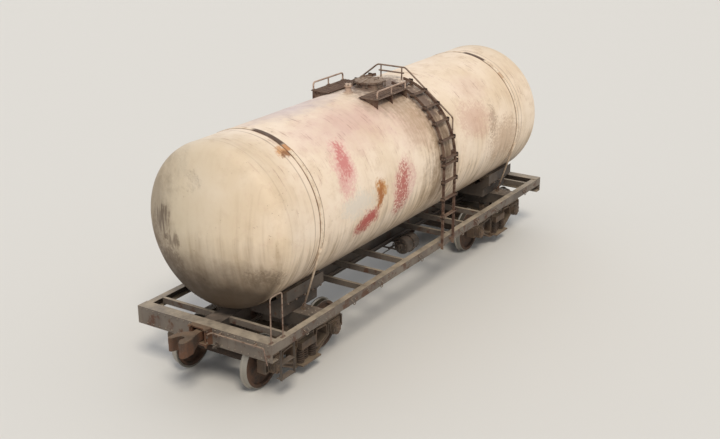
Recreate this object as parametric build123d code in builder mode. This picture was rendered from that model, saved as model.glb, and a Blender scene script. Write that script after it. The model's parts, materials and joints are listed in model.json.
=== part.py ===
from build123d import *
import math
import os

# A four-axle oil tank car for 1520 mm gauge. Lengths are in millimetres.
# +X runs along the car, +Z is up, and Z = 0 is the plane under the wheel flanges.
# End A is the -X end and end B the +X end; right is the -Y side and left the +Y side.

os.makedirs("parts", exist_ok=True)

# Clearances
SEAT_GAP = 0.3
JOURNAL_GAP = 0.8
PIN_GAP = 0.5
RUN_CLEARANCE = 8.0

# Wheelsets
TREAD_R = 475.0
FLANGE_H = 28.0
BACK_TO_BACK = 1440.0
RIM_W = 130.0
RIM_T = 68.0
HUB_R = 128.0
HUB_IN = 10.0
HUB_OUT = 172.0
WEB_T = 24.0
AXLE_LEN = 2294.0
AXLE_BODY_R = 84.0
WHEEL_SEAT_R = 97.0
JOURNAL_R = 65.0
JOURNAL_SPAN = 2036.0
JOURNAL_START = 912.0

# Bogies
BOGIE_CENTRES = 7800.0
WHEELBASE = 1850.0
FRAME_T = 180.0
FRAME_TOP_OVER_RAIL = 745.0
FRAME_BOTTOM_OVER_RAIL = 165.0
FRAME_OVERHANG = 270.0
FRAME_LIP = 25.0
FRAME_RECESS = 50.0
WINDOW_CORNER_R = 36.0
WEDGE_H = 54.0
BOX_R = 130.0
BOX_HALF_W = 160.0
BOX_TOP_UP = 136.0
BOX_INNER_Y = 912.0
BOX_CAP_T = 26.0
JAW_CLEARANCE = 9.0
COLUMN_CLEARANCE = 51.0
NECK_STEP = 49.0
WINDOW_BOTTOM_OVER_RAIL = 235.0
WINDOW_TOP_OVER_RAIL = 662.0
SPRING_SEAT_T = 26.0
SPRING_SEAT_HALF_W = 235.0
SPRING_SIDE_GAP = 16.0
SPRING_GAP = 17.0
GIB_CLEARANCE = 13.0
BOLSTER_END_REACH = 172.0
BOGIE_BOLSTER_TOP_OVER_RAIL = 776.0
BOLSTER_END_BOTTOM_OVER_RAIL = 500.0
BOLSTER_END_T = 138.0
BOLSTER_BELLY_OVER_RAIL = 430.0
BOWL_R = 151.0
BOWL_WALL = 42.0
BOWL_DEPTH = 25.0
SIDE_BEARING_Y = 762.0
SIDE_BEARING_TOP_OVER_RAIL = 846.0
SIDE_BEARING_GAP = 12.0
SHOE_T = 62.0
SHOE_W = 84.0
SHOE_HALF_ANGLE = 21.0
SHOE_SEAT = 4.0
BRAKE_BEAM_W = 48.0
BRAKE_BEAM_H = 56.0
TRUSS_REACH = 92.0
TRUSS_HALF_W = 620.0
TRUSS_ROD_W = 34.0
BRAKE_BEAM_OVER_RAIL = 440.0
BRAKE_LEVER_T = 22.0
BRAKE_LEVER_W = 46.0
BRAKE_LEVER_TOP_OVER_RAIL = 790.0
BRAKE_LEVER_LOW_OVER_RAIL = 325.0
LEVER_PIN_R = 15.0

# Tank
TANK_R = 1510.0
TANK_STRAIGHT = 9550.0
DISH_DEPTH = 600.0
DISH_KNUCKLE_R = 300.0
TANK_OVER_SILL = 140.0
WELL_DEPTH = 900.0

# Straps that hold the tank down over the bolsters
STRAP_W = 90.0
STRAP_T = 8.0
STRAP_END_ANGLE = 108.0
STRAP_ROD_R = 18.0

# Manhole, lid and valves
NECK_R = 272.0
NECK_BORE_R = 245.0
NECK_H = 96.0
NECK_FLANGE_R = 296.0
NECK_FLANGE_T = 20.0
LID_R = 300.0
LID_T = 14.0
LID_RISE = 44.0
LID_PIN_X = -348.0
LID_PIN_R = 9.0
LID_LUGS = 8
VALVE_X = -770.0
DRAIN_TOP_R = 135.0

# Platform and ladders
FLOOR_DROP = 15.0
FLOOR_T = 8.0
FLOOR_INNER_Y = 350.0
FLOOR_OUTER_Y = 765.0
FLOOR_X = (-950.0, 240.0)
GUARD_RAIL_H = 155.0
GUARD_RAIL_X = (-900.0, 150.0)
PIPE_R = 17.0
LADDER_X = (320.0, 780.0)
STRINGER_T = 14.0
STRINGER_IN = 38.0
STRINGER_W = 60.0
LADDER_START_ANGLE = 12.0
STEP_FIRST_ANGLE = 18.0
STEP_PITCH_ANGLE = 13.5
STEP_PITCH = 365.0
STEP_COUNT_CURVED = 6
STEP_COUNT_STRAIGHT = 4
STEP_W = 92.0
STEP_T = 10.0
STEP_OVERHANG = 46.0
STEP_TIP_T = 12.0
STEP_TIP_H = 44.0
HANDRAIL_TOP_H = 240.0
HANDRAIL_LOW_H = 120.0
HANDRAIL_HALF_W = 330.0
HANDRAIL_LOW_HALF_W = 300.0
HANDRAIL_POST_Y = 250.0
HANDRAIL_INSET = 46.0
HANDRAIL_KNEE_UP = 860.0
HANDRAIL_END_UP = 450.0

# Underframe
FRAME_OVER_BEAMS = 10800.0
SILL_BOTTOM_OVER_RAIL = 890.0
SILL_TOP_OVER_RAIL = 1200.0
SILL_WEB_Y = 181.0
SILL_WEB_T = 12.0
SILL_FLANGE_T = 14.0
SILL_FOOT_W = 100.0
SIDE_SILL_INSET = 10.0
END_BEAM_DEPTH = 240.0
END_BEAM_T = 12.0
END_BEAM_FOOT_W = 175.0
HEAD_CHAMFER = 12.0
RESERVOIR_END_R = 60.0
CYLINDER_END_R = 28.0
DISTRIBUTOR_EDGE_R = 24.0
SIDE_SILL_H = 168.0
SIDE_SILL_W = 130.0
SIDE_SILL_T = 8.0
FOOTSTEP_X = 4950.0
FOOTSTEP_HALF_W = 190.0
FOOTSTEP_LOW_OVER_RAIL = 430.0
GRAB_H = 820.0
GRAB_LEN = 330.0
BODY_BOLSTER_HALF_W = 200.0
BODY_BOLSTER_PLATE_T = 12.0
BODY_BOLSTER_END_BOTTOM_OVER_RAIL = 1020.0
JACK_PAD_OVER_RAIL = 985.0
JACK_PAD_INSET = 230.0
JACK_PAD_W = 170.0
CRADLE_HALF_LEN = 560.0
CRADLE_PLATE_T = 12.0
CRADLE_HOLE_R = 42.0
CRADLE_INNER_Y = 330.0
CRADLE_OUTER_INSET = 370.0
CRADLE_FOOT_INSET = 520.0
TIMBER_T = 70.0
TIMBER_ANGLES = ((137.0, 145.0), (151.0, 161.0))
BEARER_X = (-2420.0, -1650.0, -900.0, 900.0, 1650.0, 2420.0, -4850.0, 4850.0)
BEARER_W = 64.0
BEARER_H = 110.0
PAW_X = (330.0, 780.0)
PAW_HALF_W = 280.0

# Couplers and draft gear
COUPLING_LINE = 6010.0
COUPLER_OVER_RAIL = 1060.0
COUPLER_PIN_BACK = 870.0
SHANK_HALF_W = 65.0
SHANK_HALF_H = 85.0
YOKE_PIN_R = 26.0
HEAD_HALF_H = 150.0
STRIKER_OPEN_HALF_W = 150.0
STRIKER_OPEN_HALF_H = 118.0
STRIKER_DEPTH = 100.0
STRIKER_RIM = 70.0
LEVER_STAND_OFF = 62.0
UNCOUPLING_OVER_RAIL = 1150.0
UNCOUPLING_INNER_Y = 250.0
UNCOUPLING_ROD_R = 12.0
LEVER_BRACKET_SET = 170.0
LEVER_BRACKET_INSET = 320.0
DRAFT_GEAR_LEN = 560.0

# Brake equipment
CYLINDER_R = 178.0
CYLINDER_LEN = 480.0
CYLINDER_X = 620.0
RESERVOIR_R = 150.0
RESERVOIR_LEN = 1150.0
RESERVOIR_X = -1500.0
GEAR_Y = 565.0
PIPE_LINE_R = 21.0
PIPE_LINE_Y = -312.0
PIPE_LINE_OVER_RAIL = 985.0
PIPE_END_OVER_RAIL = 915.0
PIPE_END_Y = -330.0
PIPE_END_REACH = 130.0
PUSH_ROD_LEN = 80.0
PULL_ROD_Y = -165.0
PULL_ROD_END_X = 3535.0
ROD_R = 14.0
ROD_OVER_RAIL = 828.0

# Places that follow from the sizes above
RAIL_Z = FLANGE_H
AXLE_Z = TREAD_R + FLANGE_H
BOX_TOP = AXLE_Z + BOX_TOP_UP
FRAME_TOP = RAIL_Z + FRAME_TOP_OVER_RAIL
FRAME_BOTTOM = RAIL_Z + FRAME_BOTTOM_OVER_RAIL
BOGIE_BOLSTER_HALF_LEN = JOURNAL_SPAN / 2 + BOLSTER_END_REACH
WINDOW_BOTTOM = RAIL_Z + WINDOW_BOTTOM_OVER_RAIL
WINDOW_TOP = RAIL_Z + WINDOW_TOP_OVER_RAIL
BOGIE_BOLSTER_TOP = RAIL_Z + BOGIE_BOLSTER_TOP_OVER_RAIL
BOLSTER_END_BOTTOM = RAIL_Z + BOLSTER_END_BOTTOM_OVER_RAIL
BOLSTER_BELLY = RAIL_Z + BOLSTER_BELLY_OVER_RAIL
SIDE_BEARING_TOP = RAIL_Z + SIDE_BEARING_TOP_OVER_RAIL
BRAKE_BEAM_Z = RAIL_Z + BRAKE_BEAM_OVER_RAIL
BRAKE_LEVER_TOP = RAIL_Z + BRAKE_LEVER_TOP_OVER_RAIL
BRAKE_LEVER_LOW = RAIL_Z + BRAKE_LEVER_LOW_OVER_RAIL
SILL_BOTTOM = RAIL_Z + SILL_BOTTOM_OVER_RAIL
SILL_TOP = RAIL_Z + SILL_TOP_OVER_RAIL
FOOTSTEP_LOW = RAIL_Z + FOOTSTEP_LOW_OVER_RAIL
BODY_BOLSTER_END_BOTTOM = RAIL_Z + BODY_BOLSTER_END_BOTTOM_OVER_RAIL
JACK_PAD_Z = RAIL_Z + JACK_PAD_OVER_RAIL
COUPLER_Z = RAIL_Z + COUPLER_OVER_RAIL
UNCOUPLING_Z = RAIL_Z + UNCOUPLING_OVER_RAIL
PIPE_LINE_Z = RAIL_Z + PIPE_LINE_OVER_RAIL
PIPE_END_Z = RAIL_Z + PIPE_END_OVER_RAIL
ROD_Z = RAIL_Z + ROD_OVER_RAIL
HALF_FRAME = FRAME_OVER_BEAMS / 2
END_BEAM_BOTTOM = SILL_BOTTOM - END_BEAM_T
END_BEAM_TOP = SILL_TOP + END_BEAM_T
SIDE_SILL_BOTTOM = SILL_TOP - SIDE_SILL_H
UNDERFRAME_HALF_W = TANK_R - SIDE_SILL_INSET
JACK_PAD_Y = UNDERFRAME_HALF_W - JACK_PAD_INSET
CRADLE_OUTER_Y = UNDERFRAME_HALF_W - CRADLE_OUTER_INSET
CRADLE_FOOT_Y = UNDERFRAME_HALF_W - CRADLE_FOOT_INSET
TANK_AXIS_Z = SILL_TOP + TANK_OVER_SILL + TANK_R
TANK_TOP = TANK_AXIS_Z + TANK_R
FLOOR_Z = TANK_TOP - FLOOR_DROP
GUARD_RAIL_Z = FLOOR_Z + GUARD_RAIL_H
HANDRAIL_TOP_Z = TANK_TOP + HANDRAIL_TOP_H
HANDRAIL_LOW_Z = TANK_TOP + HANDRAIL_LOW_H
HANDRAIL_KNEE_Z = TANK_AXIS_Z + HANDRAIL_KNEE_UP
HANDRAIL_END_Z = TANK_AXIS_Z + HANDRAIL_END_UP
SHOE_FACE_R = TREAD_R + RUN_CLEARANCE
BEAM_REACH = SHOE_FACE_R + SHOE_T + BRAKE_BEAM_W / 2 - SHOE_SEAT
WINDOW_HALF_W = WHEELBASE / 2 - BEAM_REACH - BRAKE_BEAM_W / 2 - COLUMN_CLEARANCE
WINDOW_NECK_HALF_W = WINDOW_HALF_W - NECK_STEP
BOGIE_BOLSTER_HALF_W = WINDOW_NECK_HALF_W - GIB_CLEARANCE
SPRING_R = (WINDOW_HALF_W - SPRING_SIDE_GAP - SPRING_GAP) / 3
SPRING_PITCH_X = 2 * SPRING_R + SPRING_GAP
FRAME_HALF_LEN = WHEELBASE / 2 + FRAME_OVERHANG
ENDS = (("a", -1), ("b", 1))
SIDES = (("right", -1), ("left", 1))
CENTRE_X = {"a": -BOGIE_CENTRES / 2, "b": BOGIE_CENTRES / 2}


def on_tank(angle, radius):
    """A point (y, z) at an angle from the top of the tank, towards +Y, in degrees."""
    turn = math.radians(angle)
    return (radius * math.sin(turn), TANK_AXIS_Z + radius * math.cos(turn))


# Wheelsets: two wheels in one node and their axle in another, four times.
WHEEL_BORE_R = WHEEL_SEAT_R + SEAT_GAP
RIM_INNER_R = TREAD_R - RIM_T
WHEEL_SECTION = (  # (out from the rim's inner face, radius)
    (-HUB_IN, WHEEL_BORE_R),
    (HUB_OUT, WHEEL_BORE_R),
    (HUB_OUT, HUB_R),
    (HUB_OUT / 2 + WEB_T, HUB_R + 16),
    (RIM_W * 0.55 + WEB_T / 2, RIM_INNER_R - 16),
    (RIM_W, RIM_INNER_R),
    (RIM_W, TREAD_R - 6),
    (44, TREAD_R + 1),
    (32, TREAD_R + 12),
    (22, TREAD_R + FLANGE_H),
    (10, TREAD_R + FLANGE_H),
    (0, TREAD_R + 12),
    (0, RIM_INNER_R),
    (RIM_W * 0.55 - WEB_T / 2, RIM_INNER_R - 16),
    (HUB_OUT / 2 - WEB_T / 2, HUB_R + 16),
    (-HUB_IN, HUB_R),
)
AXLE_SECTION = (  # (half length, radius)
    (BACK_TO_BACK / 2 - 22, AXLE_BODY_R),
    (JOURNAL_START, WHEEL_SEAT_R),
    (AXLE_LEN / 2, JOURNAL_R),
)

number = 0
for letter, side in ENDS:
    for axle_side in (-1, 1):
        number += 1
        axle_x = CENTRE_X[letter] + axle_side * WHEELBASE / 2
        axle_line = Axis((axle_x, 0, AXLE_Z), (0, 1, 0))
        with BuildPart() as wheels:
            with BuildSketch(Plane.YZ.offset(axle_x)):
                with BuildLine():
                    Polyline(
                        *[(BACK_TO_BACK / 2 + out, AXLE_Z + r) for out, r in WHEEL_SECTION],
                        close=True,
                    )
                make_face()
            revolve(axis=axle_line)
            mirror(about=Plane.XZ)
        wheels.part.label = f"wheels_{number}"
        export_step(wheels.part, f"parts/wheels_{number}.step")

        with BuildPart() as axle:
            with BuildSketch(Plane.YZ.offset(axle_x)):
                with BuildLine():
                    outline = [(0, AXLE_Z)]
                    inner = 0.0
                    for half_len, radius in AXLE_SECTION:
                        outline += [(inner, AXLE_Z + radius), (half_len, AXLE_Z + radius)]
                        inner = half_len
                    outline.append((inner, AXLE_Z))
                    Polyline(*outline, close=True)
                make_face()
            revolve(axis=axle_line)
            mirror(about=Plane.XZ)
        axle.part.label = f"axle_{number}"
        export_step(axle.part, f"parts/axle_{number}.step")

# Bogies: cast side frames, bolster, spring nests, axle boxes and brake rigging.
JAW_HALF_W = BOX_HALF_W + JAW_CLEARANCE
JAW_TOP = BOX_TOP + SEAT_GAP
JAW_IN = WHEELBASE / 2 - JAW_HALF_W
JAW_OUT = WHEELBASE / 2 + JAW_HALF_W
FRAME_OUTLINE = (  # (from the middle of the side frame, height), one half
    (0, FRAME_TOP),
    (300, FRAME_TOP),
    (JAW_IN - 116, FRAME_TOP - 48),
    (FRAME_HALF_LEN - 60, FRAME_TOP - 48),
    (FRAME_HALF_LEN, FRAME_TOP - 105),
    (FRAME_HALF_LEN, AXLE_Z - 55),
    (JAW_OUT, AXLE_Z - 55),
    (JAW_OUT, JAW_TOP),
    (JAW_IN, JAW_TOP),
    (JAW_IN, AXLE_Z - 85),
    (JAW_IN - 80, AXLE_Z - 125),
    (WINDOW_HALF_W + 55, FRAME_BOTTOM),
    (0, FRAME_BOTTOM),
)
FRAME_WINDOW = (  # the opening for bolster and springs, one half
    (0, WINDOW_TOP),
    (WINDOW_NECK_HALF_W, WINDOW_TOP),
    (WINDOW_NECK_HALF_W, BOLSTER_END_BOTTOM + WEDGE_H),
    (WINDOW_HALF_W, BOLSTER_END_BOTTOM + 5),
    (WINDOW_HALF_W, WINDOW_BOTTOM),
    (0, WINDOW_BOTTOM),
)
FRAME_SIDE_HOLE = (  # the lightening hole between column and jaw
    (WINDOW_HALF_W + 75, WINDOW_BOTTOM + 60),
    (WINDOW_HALF_W + 75, WINDOW_TOP - 20),
    (JAW_IN - 90, WINDOW_TOP - 40),
    (JAW_IN - 75, AXLE_Z - 40),
)
SPRING_SPOTS = (  # (columns along the car, across the car) from the middle of the nest
    (-1, -92), (-1, 92), (0, -138), (0, 46), (1, -92), (1, 92),
)
BOLSTER_PROFILE = (  # (across the car, height), one half
    (0, BOGIE_BOLSTER_TOP),
    (430, BOGIE_BOLSTER_TOP),
    (JOURNAL_SPAN / 2 - FRAME_T / 2 - 60, BOLSTER_END_BOTTOM + BOLSTER_END_T),
    (BOGIE_BOLSTER_HALF_LEN, BOLSTER_END_BOTTOM + BOLSTER_END_T),
    (BOGIE_BOLSTER_HALF_LEN, BOLSTER_END_BOTTOM),
    (JOURNAL_SPAN / 2 - FRAME_T / 2 - 155, BOLSTER_END_BOTTOM),
    (520, BOLSTER_BELLY),
    (0, BOLSTER_BELLY),
)


def mirrored(half):
    """Closes a half outline that starts and ends on the centre line."""
    return [(x, z) for x, z in half] + [(-x, z) for x, z in reversed(half) if x]


for letter, side in ENDS:
    cx = CENTRE_X[letter]
    frame_y = JOURNAL_SPAN / 2
    with BuildPart() as side_frames:
        with BuildSketch(Plane.XZ.offset(-frame_y)) as frame_face:
            with Locations((cx, 0)):
                Polygon(*mirrored(FRAME_OUTLINE), align=None)
                Polygon(*mirrored(FRAME_WINDOW), align=None, mode=Mode.SUBTRACT)
            for hole_side in (-1, 1):
                with BuildLine():
                    FilletPolyline(
                        *[(cx + hole_side * x, z) for x, z in FRAME_SIDE_HOLE],
                        radius=WINDOW_CORNER_R, close=True,
                    )
                make_face(mode=Mode.SUBTRACT)
        extrude(amount=FRAME_T / 2, both=True)
        for face_side in (-1, 1):
            with BuildSketch(Plane.XZ.offset(-frame_y - face_side * FRAME_T / 2)):
                add(frame_face.sketch_local)
                offset(amount=-FRAME_LIP, kind=Kind.INTERSECTION)
            extrude(amount=face_side * FRAME_RECESS, mode=Mode.SUBTRACT)
        with BuildSketch(Plane.XZ.offset(-frame_y)):
            with Locations((cx, (WINDOW_BOTTOM - SPRING_SEAT_T / 2))):
                Rectangle(2 * WINDOW_HALF_W, SPRING_SEAT_T)
        extrude(amount=SPRING_SEAT_HALF_W, both=True)
        mirror(about=Plane.XZ)
    side_frames.part.label = f"side_frames_{letter}"
    export_step(side_frames.part, f"parts/side_frames_{letter}.step")

    with BuildPart() as bogie_bolster:
        with BuildSketch(Plane.YZ.offset(cx)):
            Polygon(*mirrored(BOLSTER_PROFILE), align=None)
        extrude(amount=BOGIE_BOLSTER_HALF_W, both=True)
        with BuildSketch(Plane.XY.offset(BOGIE_BOLSTER_TOP)):
            with Locations((cx, 0)):
                Circle(BOWL_R + BOWL_WALL)
                Circle(BOWL_R, mode=Mode.SUBTRACT)
        extrude(amount=BOWL_DEPTH)
        with BuildSketch(Plane.XY.offset(SIDE_BEARING_TOP)):
            with Locations((cx, SIDE_BEARING_Y), (cx, -SIDE_BEARING_Y)):
                Rectangle(300, 110)
        extrude(until=Until.NEXT, dir=(0, 0, -1))
        for across in (-1, 1):
            for wedge_side in (-1, 1):
                with BuildSketch(Plane.XZ.offset(-across * frame_y)):
                    Polygon(
                        (cx + wedge_side * (BOGIE_BOLSTER_HALF_W + SEAT_GAP),
                         BOLSTER_END_BOTTOM + SEAT_GAP),
                        (cx + wedge_side * (WINDOW_HALF_W - SEAT_GAP),
                         BOLSTER_END_BOTTOM + SEAT_GAP),
                        (cx + wedge_side * (WINDOW_HALF_W - SEAT_GAP), BOLSTER_END_BOTTOM + 4),
                        (cx + wedge_side * (WINDOW_NECK_HALF_W - SEAT_GAP),
                         BOLSTER_END_BOTTOM + WEDGE_H - 1),
                        (cx + wedge_side * (BOGIE_BOLSTER_HALF_W + SEAT_GAP),
                         BOLSTER_END_BOTTOM + WEDGE_H + 10),
                        align=None,
                    )
                extrude(amount=FRAME_T / 2 - FRAME_RECESS, both=True)
    bogie_bolster.part.label = f"bogie_bolster_{letter}"
    export_step(bogie_bolster.part, f"parts/bogie_bolster_{letter}.step")

    with BuildPart() as springs:
        spring_low = WINDOW_BOTTOM + SEAT_GAP
        spring_high = BOLSTER_END_BOTTOM - SEAT_GAP
        with BuildSketch(Plane.XY.offset(spring_low)):
            for dx, dy in SPRING_SPOTS:
                for across in (-1, 1):
                    with Locations((cx + dx * SPRING_PITCH_X, across * (frame_y + dy))):
                        Circle(SPRING_R)
        extrude(amount=spring_high - spring_low)
    springs.part.label = f"springs_{letter}"
    export_step(springs.part, f"parts/springs_{letter}.step")

    with BuildPart() as axle_boxes:
        box_depth = 2 * (frame_y - BOX_INNER_Y)
        for axle_side in (-1, 1):
            ax = cx + axle_side * WHEELBASE / 2
            with BuildSketch(Plane.XZ.offset(-BOX_INNER_Y)):
                with Locations((ax, AXLE_Z)):
                    Circle(BOX_R)
                with Locations((ax, (AXLE_Z + BOX_TOP) / 2)):
                    Rectangle(2 * BOX_HALF_W, BOX_TOP - AXLE_Z)
                with Locations((ax, AXLE_Z)):
                    Circle(JOURNAL_R + JOURNAL_GAP, mode=Mode.SUBTRACT)
            extrude(amount=-box_depth)
            with BuildSketch(Plane.XZ.offset(-BOX_INNER_Y - box_depth)):
                with Locations((ax, AXLE_Z)):
                    Circle(BOX_R - 8)
                    Circle(JOURNAL_R + JOURNAL_GAP, mode=Mode.SUBTRACT)
            extrude(amount=-(AXLE_LEN / 2 + RUN_CLEARANCE - BOX_INNER_Y - box_depth))
            with BuildSketch(Plane.XZ.offset(-AXLE_LEN / 2 - RUN_CLEARANCE)):
                with Locations((ax, AXLE_Z)):
                    Circle(BOX_R - 8)
            extrude(amount=-BOX_CAP_T)
        mirror(about=Plane.XZ)
    axle_boxes.part.label = f"axle_boxes_{letter}"
    export_step(axle_boxes.part, f"parts/axle_boxes_{letter}.step")

    tread_y = BACK_TO_BACK / 2 + RIM_W / 2 + 15
    beam_half_len = frame_y - FRAME_T / 2 - SEAT_GAP
    strut_x = WHEELBASE / 2 - BEAM_REACH - TRUSS_REACH + TRUSS_ROD_W / 2
    with BuildPart() as brake_beams:
        for axle_side in (-1, 1):
            ax = cx + axle_side * WHEELBASE / 2
            beam_x = ax - axle_side * BEAM_REACH
            tip_x = beam_x - axle_side * TRUSS_REACH
            facing = 180 if axle_side > 0 else 0
            with BuildSketch(Plane.XZ.offset(-tread_y)):
                with BuildLine():
                    inner_arc = CenterArc((ax, AXLE_Z), SHOE_FACE_R, facing - SHOE_HALF_ANGLE,
                                          2 * SHOE_HALF_ANGLE)
                    outer_arc = CenterArc((ax, AXLE_Z), SHOE_FACE_R + SHOE_T,
                                          facing - SHOE_HALF_ANGLE, 2 * SHOE_HALF_ANGLE)
                    Line(inner_arc @ 0, outer_arc @ 0)
                    Line(inner_arc @ 1, outer_arc @ 1)
                make_face()
            extrude(amount=SHOE_W / 2, both=True)
            mirror(about=Plane.XZ)
            with BuildSketch(Plane.XY.offset(BRAKE_BEAM_Z)):
                with Locations((beam_x, 0)):
                    Rectangle(BRAKE_BEAM_W, 2 * beam_half_len)
                Polygon((beam_x, -TRUSS_HALF_W), (tip_x, -60), (tip_x, 60), (beam_x, TRUSS_HALF_W),
                        align=None)
                truss_x = tip_x + axle_side * TRUSS_ROD_W
                for across in (-1, 1):
                    Polygon((beam_x - axle_side * BRAKE_BEAM_W / 2, across * (TRUSS_HALF_W - 230)),
                            (truss_x, across * 70), (truss_x, across * 34),
                            (beam_x - axle_side * BRAKE_BEAM_W / 2, across * 34),
                            align=None, mode=Mode.SUBTRACT)
            extrude(amount=BRAKE_BEAM_H / 2, both=True)
            with Locations((cx + axle_side * strut_x, 0, BRAKE_BEAM_Z)):
                Box(BRAKE_LEVER_W + 12, BRAKE_LEVER_T + 4 * PIN_GAP, 2 * BRAKE_BEAM_H,
                    mode=Mode.SUBTRACT)
                Cylinder(LEVER_PIN_R + SEAT_GAP, 200, rotation=(90, 0, 0), mode=Mode.SUBTRACT)
    brake_beams.part.label = f"brake_beams_{letter}"
    export_step(brake_beams.part, f"parts/brake_beams_{letter}.step")

    with BuildPart() as brake_levers:
        for axle_side in (-1, 1):
            top_x = strut_x + 26
            low_x = strut_x - 8
            with BuildSketch(Plane.XZ):
                Polygon(
                    (cx + axle_side * (top_x - 20), BRAKE_LEVER_TOP),
                    (cx + axle_side * (top_x + 20), BRAKE_LEVER_TOP),
                    (cx + axle_side * (strut_x + BRAKE_LEVER_W / 2), BRAKE_BEAM_Z),
                    (cx + axle_side * (low_x + 20), BRAKE_LEVER_LOW),
                    (cx + axle_side * (low_x - 20), BRAKE_LEVER_LOW),
                    (cx + axle_side * (strut_x - BRAKE_LEVER_W / 2), BRAKE_BEAM_Z),
                    align=None,
                )
            extrude(amount=BRAKE_LEVER_T / 2, both=True)
            with Locations((cx + axle_side * strut_x, 0, BRAKE_BEAM_Z)):
                Cylinder(LEVER_PIN_R, 88, rotation=(90, 0, 0))
        with Locations((cx, 0, BRAKE_LEVER_LOW + 20)):
            Box(2 * low_x, 2 * BRAKE_LEVER_T, 34)
    brake_levers.part.label = f"brake_levers_{letter}"
    export_step(brake_levers.part, f"parts/brake_levers_{letter}.step")

# Tank: a barrel with two dished ends, each a crown arc and a knuckle arc in tangency.
DISH_CROWN_R = (
    (TANK_R - DISH_KNUCKLE_R) ** 2 + DISH_DEPTH**2 - DISH_KNUCKLE_R**2
) / (2 * (DISH_DEPTH - DISH_KNUCKLE_R))
DISH_JOIN_ANGLE = math.degrees(math.atan2(TANK_R - DISH_KNUCKLE_R, DISH_CROWN_R - DISH_DEPTH))
with BuildPart() as tank_barrel:
    with BuildSketch(Plane.XZ):
        with BuildLine():
            half = TANK_STRAIGHT / 2
            crown = CenterArc(
                (half + DISH_DEPTH - DISH_CROWN_R, TANK_AXIS_Z), DISH_CROWN_R, 0, DISH_JOIN_ANGLE
            )
            knuckle = CenterArc(
                (half, TANK_AXIS_Z + TANK_R - DISH_KNUCKLE_R),
                DISH_KNUCKLE_R, DISH_JOIN_ANGLE, 90 - DISH_JOIN_ANGLE,
            )
            Line((0, TANK_TOP), (half, TANK_TOP))
            mirror(about=Plane.YZ)
            Line((-half - DISH_DEPTH, TANK_AXIS_Z), (half + DISH_DEPTH, TANK_AXIS_Z))
        make_face()
    revolve(axis=Axis((0, 0, TANK_AXIS_Z), (1, 0, 0)))
    with Locations((0, 0, TANK_TOP - WELL_DEPTH)):
        Cylinder(NECK_BORE_R, WELL_DEPTH * 2, align=(Align.CENTER, Align.CENTER, Align.MIN),
                 mode=Mode.SUBTRACT)
tank_barrel.part.label = "tank_barrel"
export_step(tank_barrel.part, "parts/tank_barrel.step")

# Manhole neck with its flange, lug ears and the hinge ears that hold the pin.
NECK_TOP = TANK_TOP + NECK_H
LID_PIN_Z = NECK_TOP + LID_T
with BuildPart() as manhole_neck:
    with BuildSketch(Plane.XY.offset(TANK_TOP - 40)):
        Circle(NECK_R)
    extrude(amount=NECK_H + 40)
    with BuildSketch(Plane.XY.offset(NECK_TOP)):
        Circle(NECK_FLANGE_R)
    extrude(amount=-NECK_FLANGE_T)
    with BuildSketch(Plane.XY.offset(NECK_TOP)):
        with PolarLocations(NECK_FLANGE_R, LID_LUGS, start_angle=180 / LID_LUGS):
            Rectangle(60, 44)
    extrude(amount=-NECK_FLANGE_T)
    with BuildSketch(Plane.XY.offset(TANK_TOP - 40)):
        Circle(NECK_BORE_R)
    extrude(amount=NECK_H + 80, mode=Mode.SUBTRACT)
    for across in (-1, 1):
        with BuildSketch(Plane.XZ.offset(-across * 33)):
            Polygon(
                (-NECK_R - 4, NECK_TOP - NECK_FLANGE_T),
                (-NECK_R - 4, NECK_TOP - 3),
                (LID_PIN_X + 38, NECK_TOP - 3),
                (LID_PIN_X + 22, LID_PIN_Z + 20),
                (LID_PIN_X - 22, LID_PIN_Z + 20),
                (LID_PIN_X - 22, NECK_TOP - NECK_FLANGE_T),
                align=None,
            )
        extrude(amount=6, both=True)
    with BuildSketch(Plane.XZ):
        with Locations((LID_PIN_X, LID_PIN_Z)):
            Circle(LID_PIN_R)
    extrude(amount=44, both=True)
    with Locations((0, 0, TANK_AXIS_Z)):
        Cylinder(TANK_R + SEAT_GAP, 2 * NECK_R + 200, rotation=(0, 90, 0), mode=Mode.SUBTRACT)
manhole_neck.part.label = "manhole_neck"
export_step(manhole_neck.part, "parts/manhole_neck.step")

# Lid: a dished disc with a strap over it, whose knuckle turns on the pin.
with BuildPart() as hatch_lid:
    with BuildSketch(Plane.XZ):
        with BuildLine():
            base = NECK_TOP + SEAT_GAP
            Polyline(
                (0, base), (LID_R, base), (LID_R, base + LID_T), (LID_R - 26, base + LID_T),
                (60, base + LID_T + LID_RISE), (0, base + LID_T + LID_RISE), close=True,
            )
        make_face()
    revolve(axis=Axis.Z)
    with BuildSketch(Plane.XZ):
        Polygon(
            (LID_PIN_X, LID_PIN_Z - 8), (LID_PIN_X, LID_PIN_Z + 12), (-LID_R + 26, LID_PIN_Z + 14),
            (-60, base + LID_T + LID_RISE + 8), (60, base + LID_T + LID_RISE + 8),
            (60, base + LID_T + LID_RISE - 6), (-60, base + LID_T + LID_RISE - 6),
            (-LID_R + 26, base + 4), (-LID_R + 2, base + 4), (LID_PIN_X + 26, LID_PIN_Z - 8),
            align=None,
        )
        with Locations((LID_PIN_X, LID_PIN_Z)):
            Circle(20)
    extrude(amount=24, both=True)
    with BuildSketch(Plane.XZ):
        with Locations((LID_PIN_X, LID_PIN_Z)):
            Circle(LID_PIN_R + PIN_GAP)
    extrude(amount=60, both=True, mode=Mode.SUBTRACT)
hatch_lid.part.label = "hatch_lid"
export_step(hatch_lid.part, "parts/hatch_lid.step")

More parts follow.
